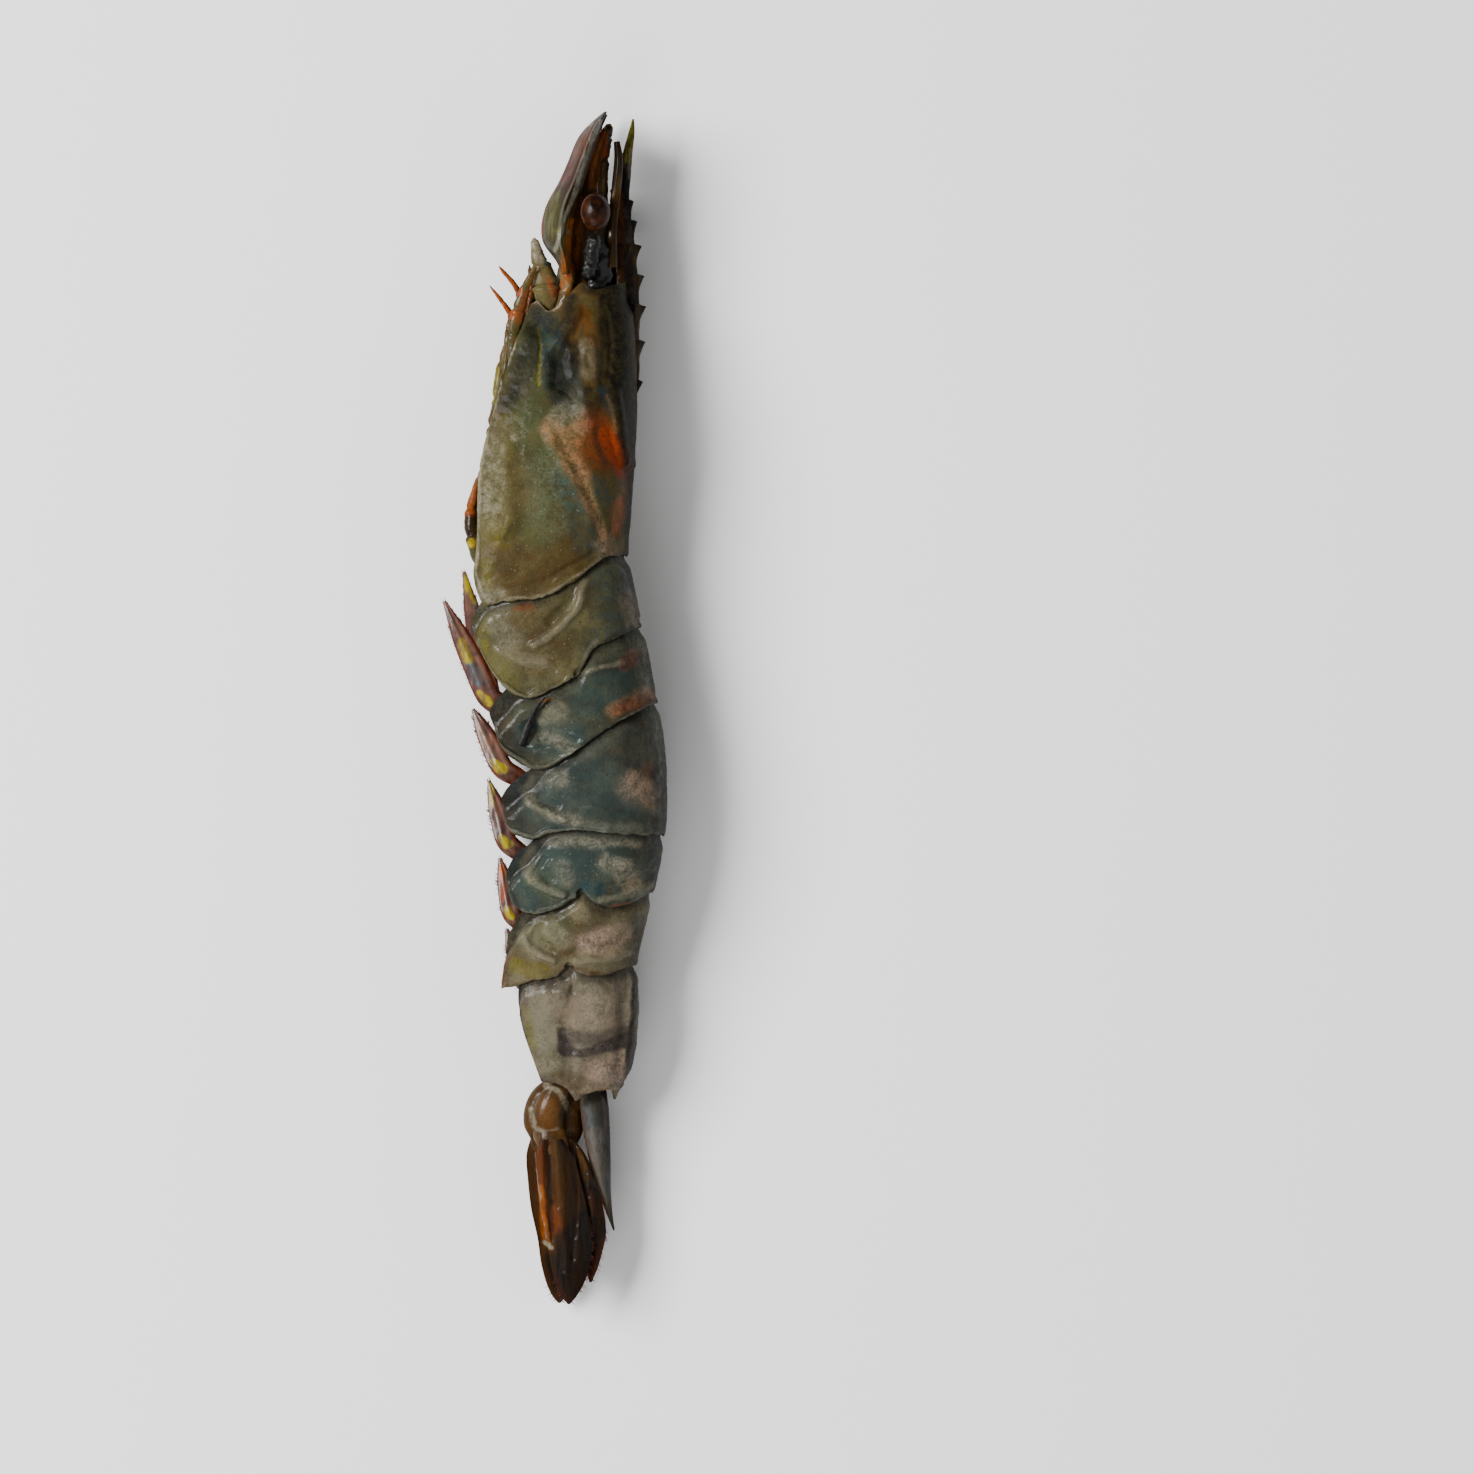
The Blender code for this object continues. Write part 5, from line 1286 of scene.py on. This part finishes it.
def shell_material(name, ground, marks, colours, wet=0.5, mottle=0.5, flecks=False, seam=False, streak=None):
    """Wet shell: mottled ground, ragged marks, pale flecks and dark pores."""
    shade = Shading(name)
    broad, medium = shade.noise(4.5, 4.0, streak), shade.noise(1.5, 4.0, streak)
    fine, grit = shade.noise(0.5, 3.0, streak), shade.noise(0.24, 2.0)
    colour = shade.mix(scaled(ground, 0.68), scaled(ground, 1.34), broad.between(0.34, 0.66))
    colour = shade.mix(colour, colours.umber, medium.between(0.5, 0.68) * (0.7 * mottle))
    ragged = 0.2 + medium.between(0.36, 0.64) * 0.6 + fine.between(0.36, 0.64) * 0.4
    for mark in tones_of(marks):
        tint = getattr(colours, mark)
        varied = shade.mix(scaled(tint, 0.7), scaled(tint, 1.3), fine.between(0.34, 0.66))
        spread = 0.5 + ragged * 0.5 if mark in CLEAR_TONES else ragged
        colour = shade.mix(colour, varied, (shade.layer(mark) * spread).clamped())
    colour = shade.mix(colour, scaled(ground, 0.3), fine.between(0.5, 0.68) * (0.75 * mottle))
    colour = shade.mix(colour, scaled(ground, 1.9), grit.between(0.55, 0.72) * (0.35 * mottle))
    if flecks:
        specks = (1 - shade.cells(0.8).between(0.06, 0.26)) * medium.between(0.44, 0.6)
        colour = shade.mix(colour, colours.pale, specks * shade.layer("fleck") * 0.5)
    # Painted contact shadow, near-black, where a plate comes out from under the one before
    if seam:
        colour = shade.mix(colour, scaled(colours.dark, 1.6), shade.layer("seam") * (0.45 + ragged * 0.35))
    pores = 1 - shade.cells(0.6).between(0.1, 0.24)
    colour = shade.mix(colour, scaled(ground, 0.25), pores * fine.between(0.42, 0.58) * 0.6)
    height = medium * 0.35 + fine * 0.4 + grit * 0.35 - pores * 0.2
    film = medium.between(0.42, 0.68) * (wet * 0.34) + wet * 0.06
    return shade.finish(Base_Color=colour, Roughness=0.45 + fine * 0.2, Specular_IOR_Level=0.06,
                        Coat_Weight=film, Coat_Roughness=0.08, Normal=shade.bump(height, 0.7, 0.2))


def plain_material(name, colour, roughness, bump, coat=0.0):
    shade = Shading(name)
    fine, broad = shade.noise(0.5, 3.0), shade.noise(3.0, 3.0)
    tint = shade.mix(scaled(colour, 0.65), scaled(colour, 1.25), broad.between(0.35, 0.65))
    tint = shade.mix(tint, scaled(colour, 0.5), fine.between(0.55, 0.7) * 0.5)
    return shade.finish(Base_Color=tint, Roughness=roughness + fine * 0.15, Specular_IOR_Level=0.2,
                        Coat_Weight=coat, Coat_Roughness=0.1, Normal=shade.bump(fine, bump, 0.1))


class PrawnStep(bpy.types.Operator):
    """Builds some pieces of the prawn."""

    bl_options = {"REGISTER", "UNDO"}

    def execute(self, context):
        self.build(context.scene.prawn_sizes, context.scene.prawn_colours)
        return {"FINISHED"}


class PRAWN_OT_carapace(PrawnStep):
    """Head shell with its rostrum"""

    bl_idname = "prawn.carapace"
    bl_label = "Head shell"

    def build(self, sizes, colours):
        body, _ = plate(CARAPACE_FRONT, CARAPACE_REAR, [(0, 1), (1, 1)], *CARAPACE_GRID, CARAPACE_RELIEF,
                        sizes)
        material = shell_material("head shell", colours.carapace, CARAPACE_MARKS, colours, wet=0.13,
                                  flecks=True)
        add_piece("carapace_shell", body, material, ["carapace"], CARAPACE_MARKS,
                  fleck_values(body[0], CARAPACE_FLECKS))
        material = shell_material("rostrum", colours.rostrum, ROSTRUM_MARKS, colours, mottle=0.6,
                                  streak=(1, 0.3, 1))
        add_piece("rostrum_blade", rostrum_body(), material, ["carapace"], ROSTRUM_MARKS,
                  sharp=35)


class PRAWN_OT_segments(PrawnStep):
    """Six overlapping tail plates"""

    bl_idname = "prawn.segments"
    bl_label = "Tail plates"

    def build(self, sizes, colours):
        parts = zip(plate_fronts(), SEGMENT_REARS, BELLY_DEPTHS, SEGMENT_MARKS, SEGMENT_RELIEF,
                    SEGMENT_FLECKS)
        for number, (front, rear, belly, marks, relief, flecks) in enumerate(parts, 1):
            body, seam = plate(front, rear, belly, sizes.rows, sizes.columns, relief, sizes)
            ground = getattr(colours, f"segment_{number}")
            material = shell_material(f"tail plate {number}", ground, marks, colours, flecks=True, seam=True)
            add_piece(f"tail_plate_{number}", body, material, [f"abdomen_segment_{number}"], marks,
                      {**fleck_values(body[0], flecks), "seam": seam})


class PRAWN_OT_tail(PrawnStep):
    """Telson, fan base joints and the four fan blades"""

    bl_idname = "prawn.tail"
    bl_label = "Tail fan"

    def build(self, sizes, colours):
        material = shell_material("telson", colours.telson, TELSON_MARKS, colours, streak=(1, 0.3, 1))
        add_piece("telson_plate", self.telson(sizes), material, ["telson"], TELSON_MARKS, sharp=60)
        base = shell_material("fan base", colours.uropod, UROPOD_MARKS, colours, mottle=0.4)
        fan = shell_material("fan", colours.fan, FAN_MARKS, colours, mottle=0.5, streak=(1, 0.18, 1))
        hair = plain_material("fringe hairs", colours.hair, 0.5, 0.1)
        joint = shell_material("tail joint", scaled(colours.uropod, 1.1), {}, colours, wet=0.6)
        add_piece("tail_joint", soft_body(TAIL_JOINT, *SOFT_ROUNDNESS["tail"]), joint, [])
        blades = (("outer", OUTER_FAN, OUTER_FAN_HEIGHT), ("inner", INNER_FAN, INNER_FAN_HEIGHT))
        for word, side in SIDES:
            shift = 0.0 if side > 0 else FAR_SIDE_SHIFT
            add_piece(f"fan_base_{word}", self.base_joint(side, shift), base, [f"uropod_base_{word}"],
                      UROPOD_MARKS)
            add_piece(f"fan_hinge_{word}", self.hinge(side, shift), joint, [])
            for kind, outline, height in blades:
                add_piece(f"fan_{kind}_{word}", leaf(outline, height, side, shift, sizes), fan,
                          [f"tail_fan_{kind}_{word}"], FAN_MARKS, sharp=60)
                fringe = self.fringe(outline, height, side, shift, sizes, kind)
                add_piece(f"fan_{kind}_{word}_fringe", fringe, hair, [])

    def telson(self, sizes):
        y = np.linspace(TELSON[0][0], TELSON[-1][0], 130)[:, None]
        low, high, half = (column(TELSON, k, y) for k in (1, 2, 3))
        section = closed_curve(TELSON_SECTION, 48)
        groove = bell(section[:, 1], 0, 0.22) * (section[:, 0] > 0.6)
        x = low + (high - low) * section[:, 0] - groove * np.minimum(TELSON_GROOVE, 0.3 * (high - low))
        rings = points_of(x, y, smooth(MIDDLE, y) + half * section[:, 1])
        away = unit(rings - rings.mean(1, keepdims=True))
        return loft(rings + away * (0.5 * swell(rings, sizes) * np.minimum(1, half / 2))[..., None])

    def base_joint(self, side, shift):
        y = np.linspace(UROPOD_BASE[0][0], UROPOD_BASE[-1][0], 60)[:, None]
        low, high, half = (column(UROPOD_BASE, k, y) for k in (1, 2, 3))
        angle = round_angles(40)
        rings = points_of((low + high) / 2 + shift + (high - low) / 2 * np.cos(angle), y,
                          smooth(MIDDLE, y) + side * UROPOD_BASE_OUT + half * np.sin(angle))
        rings[..., 2] += 0.12 * noise(rings, 1.8, 12)
        return loft(rings)

    def hinge(self, side, shift):
        """Soft skin from the base joint's end over the roots of the fan blades."""
        part = np.linspace(0, 1, 34)[:, None]
        y = HINGE_START - HINGE_LENGTH * part
        wide = HINGE_WIDTH * rounded(part, 4, 0.02)
        angle = round_angles(36)
        middle = smooth(MIDDLE, y) + side * (HINGE_LOW + HINGE_RISE * part)
        rings = points_of(shift + HINGE_X + HINGE_SLANT * part + wide * np.cos(angle), y,
                          middle + HINGE_FLAT * wide * np.sin(angle))
        rings[..., 2] += 0.14 * noise(rings, 1.3, 17)
        return loft(rings)

    def fringe(self, outline, height, side, shift, sizes, kind):
        """Hairs along both edges of a fan blade, fewer on its inner edge."""
        v = np.linspace(0, 1, 80)
        y = outline[0][0] + (outline[-1][0] - outline[0][0]) * v
        edges = {1: column(outline, 1, y), 2: column(outline, 2, y)}
        bow = LEAF_BOW * 0.25 * (edges[2] - edges[1])
        z = smooth(MIDDLE, y) + side * (height[0] + (height[1] - height[0]) * v - bow)
        bodies = []
        for k in (1, 2) if kind == "inner" else (2, 1):
            way = 2 * k - 3
            out = points_of(way * 0.8, -0.7, 0 * v)
            line = points_of(edges[k] + shift, y, z)
            bodies.append(hairs(line, out, sizes, 40 + k, FAN_HAIR_LENGTH, FAN_HAIR_STARTS[k]))
        return joined(bodies)


class PRAWN_OT_head(PrawnStep):
    """Eyes, antennal scales, antennules and antenna bases"""

    bl_idname = "prawn.head"
    bl_label = "Head parts"

    def build(self, sizes, colours):
        eye = self.eye_material(colours)
        # Stalks painted near-black: painted shade of the hollow they sit in
        stalk = plain_material("eye stalk", colours.dark, 0.45, 0.8, 0.1)
        scale = shell_material("antennal scale", colours.scale, SCALE_MARKS, colours, mottle=0.35,
                               streak=(1, 0.2, 1))
        stem = shell_material("antennule", colours.antennule, ANTENNULE_MARKS, colours, wet=0.8,
                              streak=(1, 0.3, 1))
        base = shell_material("antenna base", colours.antenna_base, ANTENNA_BASE_MARKS, colours, wet=0.8)
        self.soft_parts(colours)
        for word, side in SIDES:
            body, ring = self.eye(side)
            add_piece(f"eyeball_{word}", body, eye, [f"eye_{word}"], values={"ring": ring})
            add_piece(f"stalk_{word}", tube(STALK_PATH, side, 24, 40, rough=0.3), stalk,
                      [f"eye_stalk_{word}"])
            add_piece(f"scale_{word}", antennal_scale(side, sizes), scale,
                      [f"antennal_scale_{word}"], SCALE_MARKS, sharp=60)
            body = tube(PEDUNCLE_PATH, side, 28, 110, joints=PEDUNCLE_JOINTS, rough=0.12)
            add_piece(f"antennule_stem_{word}", body, stem, [f"antennule_{word}"], ANTENNULE_MARKS)
            body = tube(ANTENNA_BASE_PATH, side, 28, 70, 0.75, joints=ANTENNA_BASE_JOINTS, rough=0.12)
            add_piece(f"antenna_joint_{word}", body, base, [f"antenna_base_{word}"],
                      ANTENNA_BASE_MARKS)

    def eye(self, side):
        polar = np.linspace(0.06, np.pi - 0.06, 44)[:, None]
        angle = round_angles(60)[None, :]
        ball = points_of(np.sin(polar) * np.cos(angle), np.cos(polar), np.sin(polar) * np.sin(angle))
        near = np.linalg.norm(ball - unit(np.array([*EYE_AIM[:2], EYE_AIM[2] * side])), axis=-1)
        dent = 1 - 0.05 * bell(near, 0, 0.22) + 0.02 * bell(near, 0.42, 0.12) + 0.012 * noise(ball, 0.35, 13)
        x, y, off = EYE_CENTRE
        centre = np.array([x, y, smooth(MIDDLE, y) + side * off])
        body = loft(centre + ball * dent[..., None] * np.array(EYE_SIZE) / 2)
        return body, np.concatenate([bell(near.ravel(), 0.36, 0.12), [0, 0]])

    def eye_material(self, colours):
        shade = Shading("eye")
        broad, fine = shade.noise(1.6, 3.0), shade.noise(0.35, 2.0)
        colour = shade.mix(scaled(colours.eye, 0.4), scaled(colours.eye, 1.5), broad.between(0.35, 0.68))
        colour = shade.mix(colour, colours.dark, shade.layer("ring") * 0.85)
        facets = shade.cells(0.16)
        return shade.finish(Base_Color=colour, Roughness=0.35 + broad * 0.15, Specular_IOR_Level=0.08,
                            Coat_Weight=0.06, Coat_Roughness=0.1,
                            Normal=shade.bump(facets * 0.15 + fine * 0.5, 0.3, 0.1))

    def soft_parts(self, colours):
        """Antennule blades and the near-black sockets round the eyes, which fill the head's front as painted
        shade of the hollow there.
        """
        stem = shell_material("antennule blade", scaled(colours.antennule, 1.1), ANTENNULE_MARKS, colours,
                              wet=0.8, streak=(1, 0.2, 1))
        # Near-black body in the hollow round the eye stalks: painted shade of the hollow, over the dark wet
        # stalks
        socket = plain_material("eye socket", colours.dark, 0.4, 0.8, 0.2)
        for (word, side), (kind, path, off, thick) in product(SIDES, ANTENNULE_BLADES):
            way = [(*off_sheet(across, down), off) for across, down, _ in path]
            body, *_ = blade(way, [wide * STEP for *_, wide in path], thick, side, 90, 18, 70)
            add_piece(f"antennule_{kind}_{word}", body, stem, [], ANTENNULE_MARKS, sharp=60)
        add_piece("eye_sockets", soft_body(EYE_SOCKET, *SOFT_ROUNDNESS["socket"]), socket, [])
        root = shell_material("antenna root", colours.antenna_base, ROOT_MARKS, colours, wet=0.8)
        add_piece("antenna_root", soft_body(ANTENNA_ROOT, *SOFT_ROUNDNESS["root"]), root, [],
                  ROOT_MARKS)


class PRAWN_OT_legs(PrawnStep):
    """Jaw feet and the five pairs of walking legs"""

    bl_idname = "prawn.legs"
    bl_label = "Walking legs"

    def build(self, sizes, colours):
        material = shell_material("walking legs", colours.limb, LIMB_MARKS, colours, wet=0.7, mottle=0.5)
        for word, side in SIDES:
            body = tube(MAXILLIPED, side, 24, 120, 0.6, joints=MAXILLIPED_JOINTS, rough=0.08, seed=30)
            add_piece(f"jaw_foot_{word}", body, material, [f"maxilliped_{word}"], LIMB_MARKS)
            for number, path in enumerate(LEGS, 1):
                body = tube(path, side, 18, 26 * len(path), joints=np.arange(1, len(path) - 1), rough=0.08,
                            seed=32 + number)
                add_piece(f"walking_leg_{number}_{word}", body, material, [f"leg_{number}_{word}"],
                          LIMB_MARKS)


class PRAWN_OT_swim_legs(PrawnStep):
    """Five pairs of swimming legs with their fringe hairs"""

    bl_idname = "prawn.swim_legs"
    bl_label = "Swimming legs"

    def build(self, sizes, colours):
        material = self.material(colours)
        hair = plain_material("leg hairs", colours.hair, 0.5, 0.1)
        legs = list(enumerate(zip(SWIM_LEGS, SWIM_WIDTHS), 1))
        for (word, side), (number, ((base, knee, tip), wide)) in product(SIDES, legs):
            if number == 1 and side < 0:
                tip = FIRST_FAR_TIP
            base, knee, tip = (np.array(p, float) for p in (base, knee, tip))
            path = [base + (knee - base) * min(k, 1) + (tip - knee) * max(k - 1, 0) for k, _ in SWIM_PLACES]
            widths = [wide * k for _, k in SWIM_PLACES]
            outer, edge, end, grid = blade(path, widths, 0.5 * SWIM_THICKNESS, side, *SWIM_GRID, 50 + number)
            inner, inner_edge, inner_end, _ = self.inner_blade(base, knee, tip, wide, side, number)
            body = joined([facing_out(outer), facing_out(inner)])
            values = {"edge": np.concatenate([edge, inner_edge]), "end": np.concatenate([end, inner_end])}
            add_piece(f"swimming_leg_{number}_{word}", body, material,
                      [f"swim_leg_{number}_{word}"], SWIM_MARKS, values, sharp=60)
            fringe = []
            for edge_column, way in ((0, -1), (-1, 1)):
                line = grid[:, edge_column]
                out = way * (grid[:, -1] - grid[:, 0]) + 0.9 * np.gradient(line, axis=0) * len(line) / 6
                fringe.append(hairs(line, out, sizes, 60 + number, SWIM_HAIR_LENGTH, SWIM_HAIR_START))
            add_piece(f"swimming_leg_{number}_{word}_fringe", joined(fringe), hair, [])

    def inner_blade(self, base, knee, tip, wide, side, number):
        short = knee + (tip - knee) * INNER_BLADE_LENGTH
        drop = np.array([0.5, 0, -INNER_BLADE_DROP])
        path = [base + (knee - base) * INNER_BLADE_ROOT, knee + drop * 0.6,
                knee + (short - knee) * 0.5 + drop, short + drop]
        widths = [wide * k for k in INNER_BLADE_WIDTHS]
        return blade(path, widths, 0.5 * INNER_BLADE_THICKNESS, side, *INNER_BLADE_GRID, 55 + number)

    def material(self, colours):
        shade = Shading("swimming legs")
        broad, medium = shade.noise(3.0, 3.0), shade.noise(0.9, 3.0, (1, 0.4, 1))
        colour = shade.mix(scaled(colours.swim, 0.55), scaled(colours.swim, 1.3), medium.between(0.35, 0.65))
        middle = 1 - shade.layer("edge").between(0.55, 0.9)
        inside = shade.mix(colours.slate, scaled(colours.pink, 0.9), broad.between(0.4, 0.6))
        colour = shade.mix(colour, inside, middle * shade.layer("end").between(0.1, 0.35) * 0.3)
        spread = (0.3 + medium.between(0.36, 0.64) * 0.9) * (middle * 0.85 + 0.15)
        for mark in tones_of(SWIM_MARKS):
            colour = shade.mix(colour, getattr(colours, mark), (shade.layer(mark) * spread).clamped())
        return shade.finish(Base_Color=colour, Roughness=0.4 + medium * 0.2, Specular_IOR_Level=0.15,
                            Coat_Weight=0.25, Coat_Roughness=0.12,
                            Normal=shade.bump(medium * 0.7 + broad * 0.3, 0.5, 0.15))


class PRAWN_OT_flesh(PrawnStep):
    """Meat between the plates and the dark scrap that lies on plate 2"""

    bl_idname = "prawn.flesh"
    bl_label = "Flesh and scrap"

    def build(self, sizes, colours):
        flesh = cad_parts["flesh"]
        flesh.data.materials[0] = plain_material("flesh", colours.flesh, 0.3, 0.5, 0.4)
        x, y, radius = (value[:, None] for value in dense(FRAGMENT_PATH, 70).T)
        back, belly = smooth(BACK, y), smooth(BELLY, y)
        top = body_point(y, (back - x) / (back - belly), 1, 0)[..., 2] + FRAGMENT_LIFT
        ends = np.minimum(1, 0.4 + np.minimum(y - y.min(), y.max() - y) * 2)
        share, waist, reach = FRAGMENT_WAIST
        wide = radius * (1 - share * bell(y, waist, reach)) * ends
        angle = round_angles(22)
        drop = FRAGMENT_DROP * np.clip(-np.sin(angle), 0, 1)
        rings = points_of(x + wide * np.cos(angle), y, top + FRAGMENT_FLAT * wide * np.sin(angle) - drop)
        rings = rings + 0.1 * noise(rings, 0.5, 14)[..., None]
        add_piece("dark_scrap", loft(rings), plain_material("scrap", colours.fragment, 0.45, 0.6),
                  ["shell_fragment"])


class PRAWN_OT_stage(PrawnStep):
    """Camera, soft lights and the pale floor"""

    bl_idname = "prawn.stage"
    bl_label = "Stage"

    def build(self, sizes, colours):
        camera = bpy.data.cameras.new("camera")
        camera.sensor_width = SENSOR_WIDTH
        camera.lens = SENSOR_WIDTH * (CAMERA_HEIGHT - FRAME_LEVEL) / FRAME_WIDTH
        camera.clip_end = 20.0
        bpy.context.scene.camera = self.place("camera", camera, (*FRAME_CENTRE, CAMERA_HEIGHT))
        mesh = bpy.data.meshes.new("floor")
        low, high = -FLOOR_HALF, FLOOR_HALF
        mesh.from_pydata([(low, low, 0), (high, low, 0), (high, high, 0), (low, high, 0)], [], [(0, 1, 2, 3)])
        shade = Shading("floor")
        colour = shade.mix(scaled(colours.floor, 0.985), colours.floor, shade.noise(30.0, 2.0))
        mesh.materials.append(shade.finish(Base_Color=colour, Roughness=0.6))
        self.place("floor", mesh, (0, 0, -FLOOR_DROP))
        for name, place, power, width in LIGHTS:
            lamp = bpy.data.lights.new(name, "AREA")
            lamp.energy, lamp.size = power, width
            x, y, z = place
            light = self.place(name, lamp, place)
            light.rotation_euler = (math.acos(z / math.hypot(x, y, z)), 0, math.atan2(y, x) + math.pi / 2)
        world = bpy.data.worlds.new("studio")
        world.use_nodes = True
        sky = world.node_tree.nodes["Background"].inputs
        sky["Color"].default_value = (1, 1, 1, 1)
        sky["Strength"].default_value = SKY_STRENGTH
        bpy.context.scene.world = world

    def place(self, name, data, location):
        thing = bpy.data.objects.new(name, data)
        thing.location = location
        bpy.context.scene.collection.objects.link(thing)
        return thing


STEPS = (PRAWN_OT_carapace, PRAWN_OT_segments, PRAWN_OT_tail, PRAWN_OT_head, PRAWN_OT_legs,
         PRAWN_OT_swim_legs, PRAWN_OT_flesh, PRAWN_OT_stage)


class PRAWN_PT_panel(bpy.types.Panel):
    """Steps that build the prawn"""

    bl_label = "Tiger prawn"
    bl_space_type = "VIEW_3D"
    bl_region_type = "UI"
    bl_category = "Prawn"

    def draw(self, context):
        for step in STEPS:
            self.layout.operator(step.bl_idname)
        for group in (context.scene.prawn_sizes, context.scene.prawn_colours):
            for name in group.bl_rna.properties.keys():
                if name not in ("rna_type", "name"):
                    self.layout.prop(group, name)


CLASSES = (PrawnSizes, PrawnColours, *STEPS, PRAWN_PT_panel)


def register():
    for cls in CLASSES:
        bpy.utils.register_class(cls)
    bpy.types.Scene.prawn_sizes = PointerProperty(type=PrawnSizes)
    bpy.types.Scene.prawn_colours = PointerProperty(type=PrawnColours)


def unregister():
    del bpy.types.Scene.prawn_sizes
    del bpy.types.Scene.prawn_colours
    for cls in reversed(CLASSES):
        bpy.utils.unregister_class(cls)


def main():
    register()
    bpy.ops.prawn.carapace()
    bpy.ops.prawn.segments()
    bpy.ops.prawn.tail()
    bpy.ops.prawn.head()
    bpy.ops.prawn.legs()
    bpy.ops.prawn.swim_legs()
    bpy.ops.prawn.flesh()
    bpy.ops.prawn.stage()


if __name__ == "__main__":
    main()
